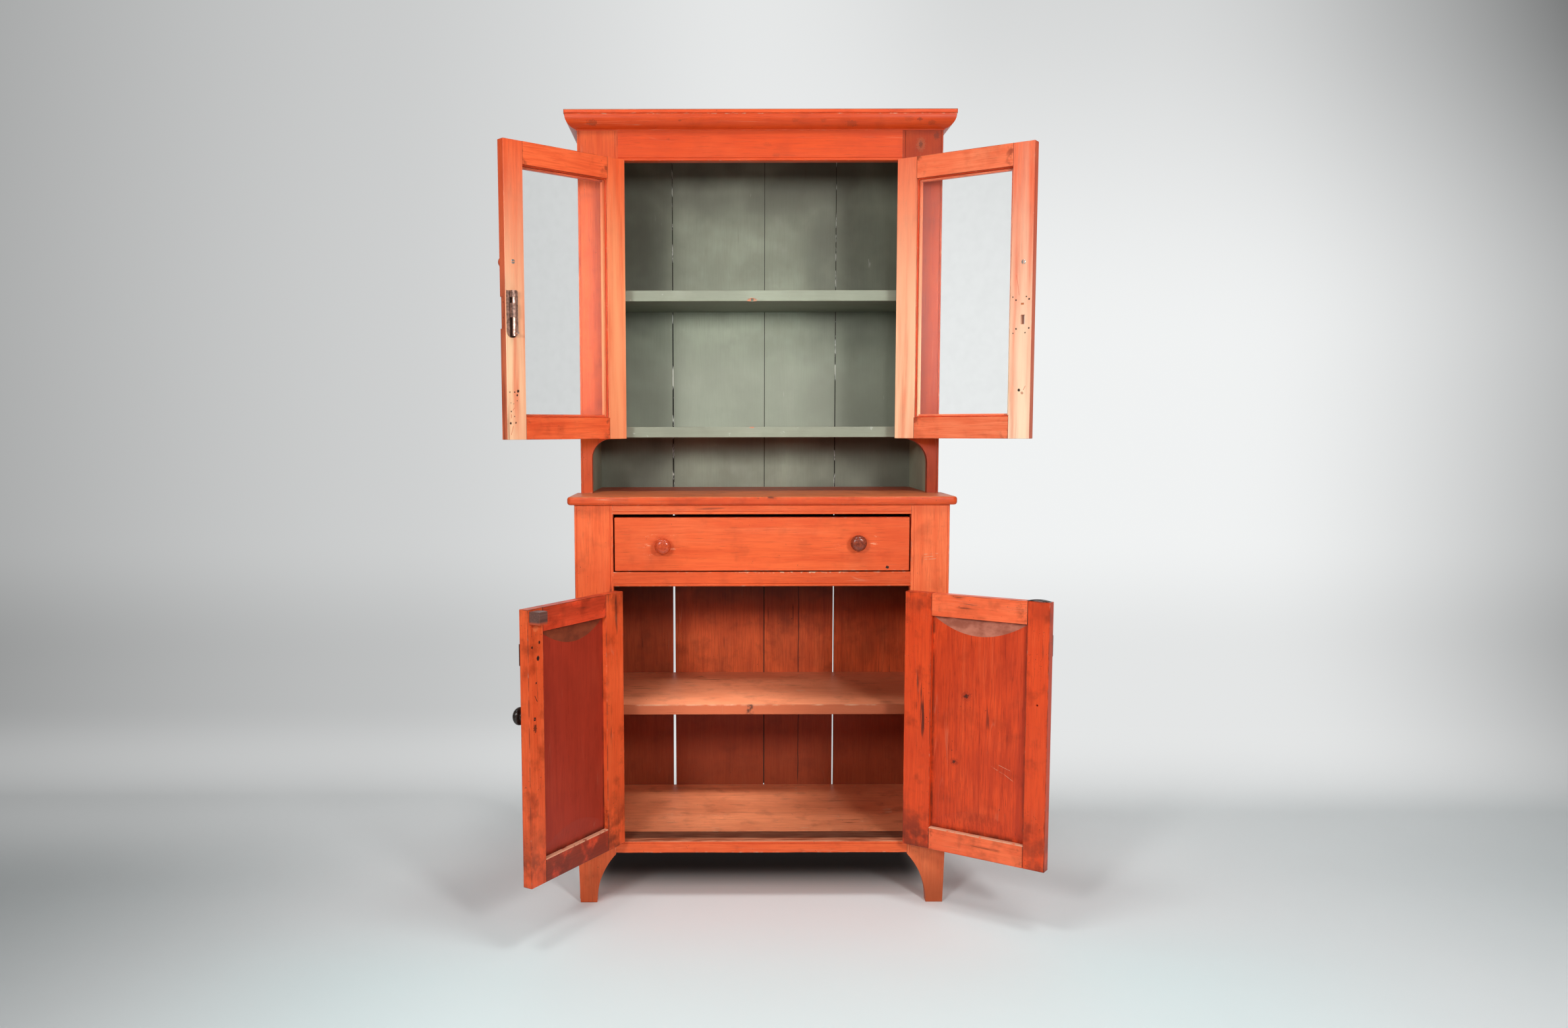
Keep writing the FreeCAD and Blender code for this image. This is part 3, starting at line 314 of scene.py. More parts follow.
    def coat_layers(self, coat):
        """Colour, roughness and height of a brushed, aged coat on the board."""
        grain = self.along(coat.grain)
        streaks = self.noise(48.0, 5.0, 3.0, grain)
        fine = self.noise(260.0, 4.0, 5.0, grain)
        murk = scaled(coat.deep, 0.35)
        tones = (
            (self.noise(5.5), 0.62, 0.34, 0.45, coat.deep),
            (self.noise(9.0, 4.0, 9.0), 0.52, 0.78, 0.35, coat.light),
            (streaks, 0.50, 0.30, coat.streak, coat.deep),
            (streaks, 0.56, 0.74, 0.55 * coat.streak, coat.light),
            (fine, 0.58, 0.38, 0.08 + 0.62 * coat.streak, coat.deep),
            (self.noise(19.0, 5.0, 39.0), 0.50, 0.72, min(0.6, 0.8 * coat.stain), murk),
            (self.noise(430.0, 2.0, 55.0, grain), 0.58, 0.70, 0.50 * coat.streak, murk),
        )
        colour = coat.base
        for noise, low, high, strength, tone in tones:
            colour = self.mix(self.both(self.ramp(noise, low, high), strength), colour, tone)
        patches = self.blotch(0.47, 0.66, 11.0, 2.0, 17.0)
        rare = 0.685 - 0.10 * coat.stain
        dashes = self.ramp(self.noise(95.0, 2.0, 14.0, grain), rare, rare + 0.06)
        dashes = self.both(dashes, patches, min(0.9, 2.2 * coat.stain))
        specks = self.blotch(rare + 0.03, rare + 0.07, 210.0, 2.0, 21.0)
        specks = self.both(specks, patches, min(0.9, 2.6 * coat.stain))
        contour = self.distance(self.noise(30.0, 1.0, 27.0, grain), 0.5)
        hair = self.both(self.ramp(contour, 0.006, 0.001), patches, 0.35 * coat.wear)
        arris = self.both(self.edge(3.4 * MM), self.blotch(0.62 - 0.22 * coat.wear, 0.72, 70.0, 4.0, 31.0))
        rubbed = self.both(arris, min(1.0, 1.6 * coat.wear))
        held = self.blotch(0.36, 0.60, 26.0, 3.0, 35.0)
        dirt = self.both(self.edge((1.2 + 2.4 * coat.stain) * MM), held, min(0.9, 2.4 * coat.stain))
        bare = coat.wear_colour
        for mask, tone in ((dashes, DARK), (specks, DARK), (hair, bare), (rubbed, bare), (dirt, GRIME)):
            colour = self.mix(mask, colour, tone)
        rough = self.plus(self.both(streaks, 0.16), coat.gloss - 0.08)
        rough = self.plus(rough, self.both(self.either(dashes, arris), 0.25))
        height = self.plus(self.both(streaks, 0.55), self.both(fine, 0.35))
        height = self.minus(height, self.both(self.either(dashes, specks, hair), 0.8))
        return colour, rough, self.both(height, coat.relief)

    def over(self, lower, mask, upper):
        """The upper layers where the mask says, and the lower ones elsewhere."""
        rest = self.minus(1.0, mask)
        pairs = zip(lower[1:], upper[1:])
        values = [self.plus(self.both(low, rest), self.both(high, mask)) for low, high in pairs]
        return self.mix(mask, lower[0], upper[0]), *values

    def paint(self, coat):
        """A first coat all over."""
        self.layers = self.coat_layers(coat)

    def cover(self, mask, coat):
        """A second coat, laid where the mask says."""
        self.layers = self.over(self.layers, mask, self.coat_layers(coat))

    def touch(self, masks, colour, dent=0.0, dull=0.0):
        """A mark, hole or patch of another colour, sunk by the dent and rougher by the dullness.

        Several masks in brackets are multiplied together.
        """
        mask = self.both(*masks) if isinstance(masks, tuple) else masks
        below, rough, height = self.layers
        if dull:
            rough = self.plus(rough, self.both(mask, dull))
        if dent:
            height = self.minus(height, self.both(mask, dent))
        self.layers = self.mix(mask, below, colour), rough, height

    def finish(self, colour, roughness, height, strength=0.25, depth=0.001):
        """Colour, gloss and relief go to the surface."""
        bump = self.value("Bump", {"Strength": strength, "Distance": depth, "Height": height})
        for key, value in (("Base Color", colour), ("Roughness", roughness), ("Normal", bump)):
            self.feed(self.bsdf, key, value)
        return self.material

    def surface(self, factor, first, second):
        """Two shaders mixed by a factor, put on the surface."""
        blend = self.add("MixShader", {0: factor, 1: first.outputs[0], 2: second.outputs[0]})
        self.tree.links.new(blend.outputs[0], self.output.inputs["Surface"])
        return blend


def dress(name, material):
    """Gives every slot of a CAD node the material."""
    for slot in cad[name].material_slots:
        slot.material = material


PLACES = {body: Place(body) for body in frame["bodies"]}
BODY_OF = {}
for body_name, members in frame["record"]["behaviour"]["bodies"].items():
    for member in members:
        BODY_OF[member] = body_name

# A noise of its own for every node
seed_step = 7.3
seeds = {name: seed_step * index for index, name in enumerate(sorted(cad))}


def start(name):
    """The skin of a CAD node, in the node's own frame."""
    place = PLACES[BODY_OF[name]]
    return Skin(name + "_finish", place, seeds[name], place.extent(name))


def coated(name, coat, marks=None, *details):
    """One coat all over a node, with its own marks put on by the given function."""
    skin = start(name)
    skin.paint(coat)
    if marks:
        marks(skin, *details)
    dress(name, skin.finish(*skin.layers))


def green(grain="z", base=GREEN, stain=0.10):
    """Matt green paint."""
    tones = base, DUSKY_GREEN, PALE_GREEN
    return Coat(*tones, grain, 0.25, PALE_GREEN, stain, gloss=0.52, streak=0.06, relief=0.4)


def raw_wood(grain):
    """Unpainted grey-brown boards that are out of sight."""
    tones = RAW_WOOD, (0.20, 0.105, 0.052), (0.47, 0.30, 0.17)
    return Coat(*tones, grain, wear=0.3, stain=0.3, gloss=0.62, streak=0.8)


def painted_corner_shade(skin):
    """Painted shade towards both sides and the top of the upper back."""
    left = skin.ramp("x", -0.17, -0.33, 0.80)
    right = skin.ramp("x", 0.08, 0.20, 0.60)
    top = skin.ramp("z", 1.74, 1.92, 0.85)
    uneven = skin.blotch(0.1, 0.6, 4.0, 3.0, 90.0)
    skin.touch((skin.either(left, right, top), uneven), (0.085, 0.082, 0.060))


# Case boards
inside_tones = WARM_WOOD, (0.44, 0.085, 0.030), (0.78, 0.29, 0.13)
inside_wood = Coat(*inside_tones, wear=0.5, stain=0.35, gloss=0.40, streak=0.6)
side_green = green(base=(0.46, 0.52, 0.38), stain=0.08)
shaded_tones = (0.76, 0.130, 0.033), (0.46, 0.062, 0.016), (0.84, 0.205, 0.066)
shaded_wood = Coat(*shaded_tones, wear=0.4, stain=0.45, gloss=0.5, streak=0.6)


def side_coats(skin):
    """Besides the outer paint: worn toes, green inside above the counter, warm wood inside below it with
    painted shade towards its top.
    """
    skin.cover(skin.ramp("z", 0.13, 0.02, 0.6), inside_wood)
    inside = skin.ramp(skin.math("ABSOLUTE", skin.x), *SIDE_INNER_FACE)
    wood_part = skin.both(inside, skin.ramp("z", *BELOW_COUNTER))
    skin.cover(wood_part, inside_wood)
    # Painted shade on the inner wood near the top of the lower case
    skin.touch((wood_part, skin.ramp("z", 0.62, 0.80), 0.8), SHADE)
    skin.cover(skin.both(inside, skin.ramp("z", *ABOVE_COUNTER)), side_green)


def back_coats(skin):
    """Stains, a crack and painted shade in the wood below the counter; green paint above it, with painted
    shade at the sides and top and painted light low down; raw boards behind.
    """
    wander = skin.both(skin.minus(skin.noise(9.0, 3.0), 0.5), 0.012)
    off = skin.distance(skin.plus(skin.x, wander), 0.128)
    # Painted shade below the counter: darker under the shelf, at the top of each compartment and towards the
    # left side
    dim = skin.ramp("z", 0.50, 0.46)
    head = skin.either(skin.ramp("z", 0.63, 0.79), skin.both(skin.ramp("z", 0.36, 0.47), dim))
    head = skin.both(head, skin.blotch(0.08, 0.46, 6.0, 3.0, 37.0), 0.92)
    stained = skin.ramp(skin.drawn((1.0, 1.0, 0.45), 8.0, 4.0, 33.0), 0.46, 0.66)
    corner = skin.ramp("x", -0.20, -0.27, 0.52)
    dull = skin.either(skin.both(dim, 0.70), corner)
    # Painted shade with the real stains mixed in, then painted shade at the top of each compartment
    skin.touch(skin.either(dull, skin.both(stained, 0.35)), (0.15, 0.030, 0.012))
    skin.touch(head, SHADE)
    crack = skin.both(skin.ramp(off, 0.0016, 0.0006), skin.between("z", 0.20, 0.80, 0.05))
    skin.touch(crack, DARK, 0.8)
    below = skin.layers
    skin.paint(green(stain=0.12))
    # Painted shade on the green towards the sides and the top
    painted_corner_shade(skin)
    # Painted light: the green is made paler low in the upper case, fading out upwards
    painted_low_light = skin.both(skin.ramp("z", 1.52, 1.34), skin.ramp("z", 1.19, 1.21), 0.35)
    skin.touch(painted_low_light, (0.54, 0.56, 0.45))
    skin.touch(skin.ramp("z", 1.21, 1.19, 0.04), DUSKY_GREEN)
    lines = skin.drawn((1.0, 1.0, 0.10), 150.0, 2.0, 71.0)
    spots = skin.blotch(0.60, 0.70, 7.0, 2.0, 75.0)
    skin.touch((skin.ramp(lines, 0.69, 0.73), spots, 0.7), (0.62, 0.62, 0.54), 0.2)
    skin.layers = skin.over(below, skin.ramp("z", *ABOVE_COUNTER), skin.layers)
    skin.cover(skin.ramp("y", *REAR_FACE), raw_wood("z"))


for side_name in ("side_left", "side_right"):
    coated(side_name, Coat(*ORANGE_PAINT, stain=0.3), side_coats)
coated("back_boards", shaded_wood, back_coats)


def lower_stile_marks(skin, worn, scratches=()):
    """A worn browner toe, and pale scratches beside the drawer, each with its height and length."""
    toe = skin.both(skin.ramp("z", 0.15, 0.02), worn)
    skin.touch(toe, (0.36, 0.072, 0.022), dull=0.15)
    for height, reach in scratches:
        line = skin.scratch((410, height), (410 + reach, height + 2), 0.8)
        skin.touch((line, skin.blotch(0.40, 0.58, 80.0), 0.7), PALE_WOOD, 0.4)


# Lighter copies of the orange paint, the right one lighter still: painted light
left_low = Coat((0.89, 0.150, 0.042), (0.71, 0.082, 0.021), (0.92, 0.235, 0.098), stain=0.35)
coated("lower_stile_left", left_low, lower_stile_marks, 0.33)
right_low = Coat((0.94, 0.210, 0.072), (0.77, 0.112, 0.033), (0.96, 0.295, 0.140), stain=0.35)
coated("lower_stile_right", right_low, lower_stile_marks, 0.76, ((893, 30), (899, 22), (906, 34)))


def upper_stile_marks(skin):
    """A brown knot and a smudge near the top of the right stile."""
    skin.touch((skin.spot(415, 1953, 13, 0.6, 1.5), 0.45), BROWN, 0.1)
    skin.touch((skin.spot(415, 1953, 6, 0.5, 1.6), 0.8), (0.15, 0.030, 0.010), 0.3)
    skin.touch((skin.spot(456, 1974, 8, 0.7, 1.4), 0.45), DARK, 0.1)


# One orange paint in two copies, lighter on the left stile and much darker on the right: painted light and
# shade
left_stile = Coat((0.68, 0.100, 0.019), (0.54, 0.058, 0.012), (0.76, 0.160, 0.042), stain=0.3)
right_stile = Coat((0.40, 0.041, 0.002), (0.31, 0.023, 0.002), (0.48, 0.066, 0.007), stain=0.3)
coated("upper_stile_left", left_stile)
coated("upper_stile_right", right_stile, upper_stile_marks)


def knots(skin, places):
    """Brown knots and smudges, each with its place, size and strength."""
    for across, along, size, strength in places:
        knot = skin.both(skin.spot(across, along, size, 0.6, 0.5), strength)
        skin.touch((knot, 0.75), (0.20, 0.032, 0.010), 0.1)


FRIEZE_KNOTS = ((-237, 1967, 5, 0.5), (19, 1953, 12, 0.25), (42, 1926, 12, 0.3))
CORNICE_KNOTS = (
    (-431, 2003, 15, 0.65), (-206, 2008, 5, 0.7), (89, 2008, 10, 0.35), (161, 2007, 9, 0.4),
    (234, 2001, 16, 0.55), (380, 2011, 14, 0.3), (407, 2010, 8, 0.9), (439, 2003, 11, 0.5),
)
coated("frieze_rail", Coat(*TOP_PAINT, "x", stain=0.15), knots, FRIEZE_KNOTS)
coated("cornice_front", Coat(*TOP_PAINT, "x", wear=0.6), knots, CORNICE_KNOTS)
coated("cornice_returns", Coat(*TOP_PAINT, "y", wear=0.6))


def top_coats(skin):
    """A raw upper face inside painted edges."""
    skin.cover(skin.ramp("z", *TOP_FACE), raw_wood("x"))


coated("top_board", Coat(*ORANGE_PAINT, "x"), top_coats)


def rail_marks(skin):
    """Pale chips along the upper arris."""
    band = skin.both(skin.ramp("z", 0.8575, 0.8610), skin.between("x", -0.03, 0.20, 0.06))
    skin.touch((skin.blotch(0.52, 0.60, 120.0, 3.0, 40.0), band), PALE_WOOD, 0.5, 0.2)


# A lighter copy of the paint for the rail under the counter's overhang: painted light
upper_rail = Coat((0.90, 0.165, 0.046), (0.74, 0.090, 0.022), (0.92, 0.25, 0.105), "x", stain=0.2)
coated("drawer_top_rail", upper_rail)
middle_rail = Coat((0.70, 0.100, 0.025), (0.56, 0.056, 0.013), (0.78, 0.170, 0.062), "x", wear=0.5, stain=0.3)
coated("drawer_rail", middle_rail, rail_marks)


def bottom_rail_marks(skin):
    """The top of the rail is rubbed to streaky bare wood, with dirt in the joint behind it."""
    top = skin.ramp("z", 0.1600, 0.1622)
    worn = skin.drawn((0.10, 1.0, 1.0), 140.0, 4.0, 12.0)
    tone = skin.mix(skin.ramp(worn, 0.40, 0.62), (0.34, 0.095, 0.042), (0.62, 0.25, 0.135))
    skin.touch(top, tone, 0.1, 0.15)
    joint = skin.both(top, skin.ramp("y", -0.2375, -0.2360))
    skin.touch((joint, 0.75), DARK, 0.4)


coated("bottom_rail", Coat(*LOW_PAINT, "x", stain=0.4, wear=0.6), bottom_rail_marks)


def counter_coats(skin):
    """A worn brown top with a dark smear; the nose keeps its paint, with pale flecks along the arris."""
    tones = (0.78, 0.205, 0.074), (0.52, 0.118, 0.042), (0.86, 0.31, 0.130)
    worn = Coat(*tones, "x", wear=0.8, stain=0.5, gloss=0.42)
    skin.cover(skin.ramp("z", *COUNTER_TOP), worn)
    rubbed = skin.blotch(0.40, 0.58, 60.0, 3.0, 48.0)
    smear = skin.both(skin.between("x", -0.008, 0.030, 0.016), skin.ramp("y", -0.255, -0.268), rubbed)
    skin.touch((smear, skin.ramp("z", 1.044, 1.052), 0.8), DARK, 0.2)


nose = Coat((0.70, 0.090, 0.019), (0.54, 0.050, 0.012), (0.78, 0.160, 0.055), "x", wear=0.9, stain=0.4)
coated("counter_front_board", nose, counter_coats)
coated("counter_rear_board", Coat(*ORANGE_PAINT, "x", stain=0.4, wear=0.5))


def floor_marks(skin):
    """Dark knots and long pale scratches."""
    flat = skin.value("CombineXYZ", {0: skin.x, 1: skin.y})
    rings = skin.noise(9.0, 2.0, 50.0, skin.stretch(flat, (1.0, 2.2, 1.0)))
    skin.touch(skin.ramp(rings, 0.72, 0.77, 0.75), BROWN, 0.3)
    lines = skin.noise(24.0, 1.0, 60.0, skin.stretch(flat, (0.35, 1.6, 1.0)))
    thin = skin.ramp(skin.distance(lines, 0.5), 0.004, 0.001)
    thin = skin.both(thin, skin.ramp(skin.noise(6.0, 2.0, 66.0, flat), 0.5, 0.62), 0.7)
    skin.touch(thin, PALE_WOOD, 0.3)


def shelf_marks(skin):
    """As the floor, with a darker front edge, a worn arris and one dark smear on it."""
    floor_marks(skin)
    front = skin.ramp("y", *WOOD_SHELF_FRONT)
    skin.touch((front, 0.9), (0.32, 0.066, 0.023))
    rub = skin.both(skin.ramp("y", -0.180, -0.185), skin.ramp("z", 0.4995, 0.5025))
    rub = skin.both(rub, skin.blotch(0.46, 0.66, 22.0, 4.0), 0.45)
    skin.touch(rub, PALE_WOOD, 0.2, 0.1)
    blot = skin.blotch(0.38, 0.60, 70.0, 3.0, 36.0)
    smear = skin.both(skin.ramp("y", -0.176, -0.184), skin.between("x", -0.033, -0.024, 0.009), blot)
    skin.touch((smear, 0.85), DARK, 0.2)


# The floor and shelf take lighter tones than the inside wood: painted light on their lit tops
floor_tones = (0.78, 0.275, 0.125), (0.50, 0.140, 0.058), (0.78, 0.33, 0.165)
shelf_tones = (0.90, 0.315, 0.155), (0.68, 0.180, 0.076), (0.93, 0.40, 0.210)
bare_board = {"grain": "x", "wear": 0.7, "gloss": 0.45, "streak": 0.5}
coated("lower_floor_board", Coat(*floor_tones, stain=0.45, **bare_board), floor_marks)
coated("lower_shelf", Coat(*shelf_tones, stain=0.4, **bare_board), shelf_marks)


def chipped(skin, across, along, size, underside):
    """Bare wood shows where the front of a green shelf has been knocked; the underside is painted darker as
    shade.
    """
    # Painted shade on the shelf's underside
    below = skin.both(skin.ramp("z", (underside + 0.8) * MM, (underside + 0.2) * MM), 0.65)
    skin.touch(below, (0.090, 0.092, 0.068))
    front = skin.ramp("y", *GREEN_SHELF_FRONT)
    skin.touch((front, 0.30), DUSKY_GREEN)
    bare = skin.both(front, skin.spot(across, along, size, 0.5, 0.5))
    skin.touch(bare, (0.60, 0.235, 0.130), 0.3)
    arris = skin.both(front, skin.blotch(0.66, 0.72, 55.0, 3.0, 57.0))
    skin.touch((arris, 0.45), (0.52, 0.53, 0.45), 0.2)


coated("upper_bottom_shelf", green("x"), chipped, -20, 1227, 7, 1199.5)
coated("upper_middle_shelf", green("x"), chipped, -20, 1559, 14, 1557)
for hidden in ("drawer_runners", "counter_cleats", "drawer_sides"):
    coated(hidden, raw_wood("y"))
for hidden in ("drawer_back", "drawer_bottom"):
    coated(hidden, raw_wood("x"))


# Drawer
def drawer_marks(skin):
    """Pale scratches and a redder ring round each knob, and a knot at the lower right."""
    for middle, height in DRAWER_KNOBS:
        near = skin.spot(middle, height, 62, 0.5, 0.55)
        lines = skin.drawn((0.20, 1.0, 1.0), 130.0, 3.0, 70.0)
        skin.touch((near, skin.ramp(lines, 0.60, 0.68), 0.7), (0.88, 0.36, 0.20), 0.3)
        halo = skin.both(skin.spot(middle, height, 30, 0.2), 0.35)
        skin.touch(halo, RED)
    skin.touch(skin.spot(317, 873, 5, 0.5), DARK, 0.3)


coated("drawer_front", Coat(*LOW_PAINT, "x", stain=0.25), drawer_marks)

# Glazed doors
UPPER_LEFT_HOLES = (
    (356.9, 1311.8, 1.4), (343.4, 1312.0, 1.6), (333.8, 1314.4, 3.0), (336.3, 1304.5, 2.1),
    (336.7, 1291.3, 1.0), (354.4, 1285.9, 0.8), (346.6, 1283.7, 0.8), (353.9, 1265.3, 1.4),
    (344.8, 1253.4, 1.1), (356.0, 1236.7, 2.3), (341.3, 1238.1, 1.8),
)
UPPER_RIGHT_HOLES = (
    (316.8, 1541.3, 1.5), (325.1, 1533.7, 1.7), (351.3, 1541.1, 1.5), (358.3, 1534.6, 1.9),
    (326.6, 1464.4, 1.8), (319.0, 1453.8, 1.4), (359.1, 1465.2, 1.8), (349.7, 1454.3, 1.4),
    (336.9, 1315.5, 2.8),
)
LOWER_LEFT_HOLES = ((338.8, 700.5, 4.5), (346.7, 644.1, 2.0), (359.5, 728.2, 2.6), (333.1, 736.5, 3.0))
LEFT_LOCK_SCRATCHES = (((349, 1268), (345, 1274)), ((353.8, 1258), (353.8, 1250)), ((349, 1229), (355, 1209)))
PANEL_SCRATCHES = (((233, 402), (262, 388)), ((258, 392), (290, 372)), ((246, 410), (280, 398)))


def painted_sheen(skin, sheen_tone, begins, whole):
    """A painted sheen: paint made paler from one height down to another, as a highlight on a glazed door's
    inner face.
    """
    streaks = skin.ramp(skin.noise(36.0, 4.0, 44.0, skin.along("z")), 0.18, 0.62)
    free_edge = skin.both(skin.ramp("x", 0.3612, 0.3616), skin.ramp("y", 0.0277, 0.0270), 0.8)
    pale = skin.both(skin.ramp("z", begins, whole), streaks, skin.minus(1.0, free_edge), 0.92)
    skin.touch(pale, sheen_tone)


def rail_joints(skin, near, far, bare=None):
    """Dark lines where a door's rails meet its stiles, stains beside them, and a bare arris at a height."""
    smudges = skin.blotch(0.5, 0.66, 42.0, 4.0)
    for across in (near, far):
        off = skin.distance("x", across * MM)
        skin.touch(skin.ramp(off, 0.0012, 0.0005), DARK, 0.6)
        skin.touch((skin.ramp(off, 0.034, 0.002), smudges, 0.75), GRIME, 0.1)
    if bare:
        arris = skin.between("z", (bare - 2.2) * MM, bare * MM, 0.0006)
        chips = skin.blotch(0.34, 0.46, 60.0, 3.0, 52.0)
        skin.touch((arris, chips), (0.74, 0.36, 0.22), 0.2)


def holes(skin, places):
    """Empty nail and screw holes, each with its place and radius."""
    for across, along, radius in places:
        skin.touch(skin.spot(across, along, 1.35 * radius, 0.2, 1.15), DARK, 1.5, 0.2)


def upper_left_lock_marks(skin):
    """A painted sheen, holes and scratches, and a cracked free edge with two holes for a strike."""
    # Painted sheen: the stile is made paler lower down, as a highlight
    painted_sheen(skin, (0.97, 0.66, 0.390), 1.99, 1.30)
    holes(skin, UPPER_LEFT_HOLES)
    for ends in LEFT_LOCK_SCRATCHES:
        skin.touch(skin.scratch(*ends, 0.7), RED, 0.6)
    edge = skin.ramp("x", 0.3590, 0.3610)
    cracked = skin.ramp(skin.noise(60.0, 3.0, 24.0, skin.along("z")), 0.42, 0.58)
    skin.touch((edge, cracked, skin.ramp("z", 1.60, 1.50), 0.6), GRIME, 0.2)
    for height in (1527, 1490):
        skin.touch((edge, skin.spot(13, height, 2.2, 0.2, 1.2, on_edge=True)), DARK, 1.5)


def upper_right_lock_marks(skin):
    """A painted sheen, holes and scratches, a patch under the lock slot and a plugged hole."""
    # Painted sheen: the stile is made paler lower down, as a highlight
    painted_sheen(skin, (0.97, 0.75, 0.510), 2.20, 1.20)
    holes(skin, UPPER_RIGHT_HOLES)
    patch = skin.both(skin.between("x", 0.338, 0.345, 0.0006), skin.between("z", 1.5222, 1.5262, 0.0006))
    skin.touch(patch, (0.50, 0.14, 0.05), 0.5)
    skin.touch(skin.scratch((325.4, 1594), (332.9, 1546), 0.5), RED, 0.4)
    skin.touch(skin.spot(345.1, 1308.6, 4.2, 0.2), (0.62, 0.30, 0.18), -0.5)
    skin.touch(skin.scratch((348, 1316), (353, 1325), 0.7), RED, 0.6)


left_rails = Coat((0.88, 0.140, 0.040), RED, (0.88, 0.215, 0.085), "x", stain=0.35, gloss=0.40)
right_tones = (0.88, 0.222, 0.095), (0.70, 0.090, 0.026), (0.90, 0.290, 0.140)
right_rails = Coat(*right_tones, "x", stain=0.3, gloss=0.40)
# Tone and heights of the painted sheen on each hinge stile, as a highlight
left_painted_sheen = (0.93, 0.345, 0.155), 2.02, 1.55
right_painted_sheen = (0.96, 0.61, 0.365), 2.10, 1.28
for prefix, lock_marks, rails, hinge_painted_sheen in (
    ("upper_left_", upper_left_lock_marks, left_rails, left_painted_sheen),
    ("upper_right_", upper_right_lock_marks, right_rails, right_painted_sheen),
):
    coated(prefix + "hinge_stile", Coat(*ORANGE_PAINT, stain=0.18, gloss=0.40), painted_sheen, *hinge_painted_sheen)
    coated(prefix + "lock_stile", Coat(*ORANGE_PAINT, stain=0.15, gloss=0.40), lock_marks)
    coated(prefix + "rails", rails, rail_joints, 55.3, 311.5)


# Panelled doors
def panel_marks(skin, tone, deep):
    """The planed half-moon at the top shows greyer wood, and grime lies along the panel's border."""
    normal = skin.add("NewGeometry").outputs["True Normal"]
    upward = skin.add("SeparateXYZ", {0: normal}).outputs[2]
    moon = skin.ramp(upward, 0.02, 0.04)
    rings = skin.drawn((1.0, 1.0, 1.6), 32.0, 4.0, 80.0)
    worn = skin.mix(skin.ramp(rings, 0.35, 0.65), deep, tone)
    skin.touch(moon, worn, dull=0.1)
    sides = skin.either(skin.ramp("x", 0.084, 0.074), skin.ramp("x", 0.309, 0.319))
    ends = skin.either(skin.ramp("z", 0.236, 0.223), skin.ramp("z", 0.750, 0.760))
    held = skin.blotch(0.34, 0.58, 30.0, 4.0, 84.0)
    skin.touch((skin.either(sides, ends), held, 0.75), (0.10, 0.020, 0.010), 0.1)


def door_grime(skin, strength, spread=0.0):
    """Dark grime towards the foot and the head of a panelled door."""
    blotch = skin.blotch(0.44 - spread, 0.62 - spread, 17.0, 5.0, 63.0)
    foot = skin.ramp("z", 0.34, 0.18)
    head = skin.ramp("z", 0.735, 0.81, 0.55)
    skin.touch((skin.either(foot, head), blotch, strength), (0.075, 0.018, 0.010), 0.1)


def lower_left_lock_marks(skin):
    """Grime, empty holes, a gouge, a blot and a bare patch."""
    door_grime(skin, 0.75)
    holes(skin, LOWER_LEFT_HOLES)
    skin.touch(skin.scratch((352, 615), (344, 601), 1.3), DARK, 0.8)
    skin.touch((skin.spot(353, 540, 7, 0.7, 1.6), 0.8), DARK, 0.3)
    skin.touch(skin.spot(346, 770, 11, 0.4, 0.8), LIGHT_ORANGE, 0.2)


def lower_right_panel_marks(skin):
    """Besides the half-moon, two dark knots in their rings and a few pale scratches."""
    panel_marks(skin, (0.52, 0.180, 0.115), (0.34, 0.095, 0.055))
    for across, along, size in ((165, 567, 7), (136, 398, 6)):
        ring = skin.both(skin.spot(across, along, 2.2 * size, 0.5, 0.9), 0.45)
        skin.touch(ring, (0.30, 0.026, 0.010))
        skin.touch((skin.spot(across, along, size, 0.8, 0.8), 0.85), DARK, 0.3)
    for ends in PANEL_SCRATCHES:
        line = skin.both(skin.scratch(*ends, 0.7), skin.blotch(0.4, 0.6, 90.0), 0.6)
        skin.touch(line, PALE_WOOD, 0.3)


def grimy_rails(skin, strength, spread):
    """Grime, and then the joints with the stiles over it."""
    door_grime(skin, strength, spread)
    rail_joints(skin, 73.3, 319.4, 222.0)


for prefix, tones, lock_marks in (
    ("lower_left_", LEFT_PAINT, (lower_left_lock_marks,)),
    ("lower_right_", RED_PAINT, (door_grime, 0.5)),
):
    coated(prefix + "hinge_stile", Coat(*tones, stain=0.7), door_grime, 0.75)
    coated(prefix + "lock_stile", Coat(*tones, stain=0.7, wear=0.3), *lock_marks)
dim_rails = Coat((0.89, 0.084, 0.028), (0.66, 0.050, 0.016), (0.93, 0.150, 0.056), "x", stain=0.55)
bright_rails = Coat((0.95, 0.175, 0.062), (0.80, 0.100, 0.030), (0.96, 0.265, 0.120), "x", stain=0.4)
coated("lower_left_rails", dim_rails, grimy_rails, 0.76, 0.12)
coated("lower_right_rails", bright_rails, grimy_rails, 0.36, 0.0)

crimson = Coat(CRIMSON, (0.30, 0.026, 0.012), (0.50, 0.060, 0.024), wear=0.2, stain=0.15, gloss=0.42)
coated("lower_left_panel", crimson, panel_marks, (0.27, 0.058, 0.024), (0.18, 0.038, 0.018))
streaky_tones = (0.74, 0.070, 0.014), (0.45, 0.035, 0.009), (0.80, 0.120, 0.036)
coated("lower_right_panel", Coat(*streaky_tones, wear=0.3, stain=0.32, streak=0.85), lower_right_panel_marks)


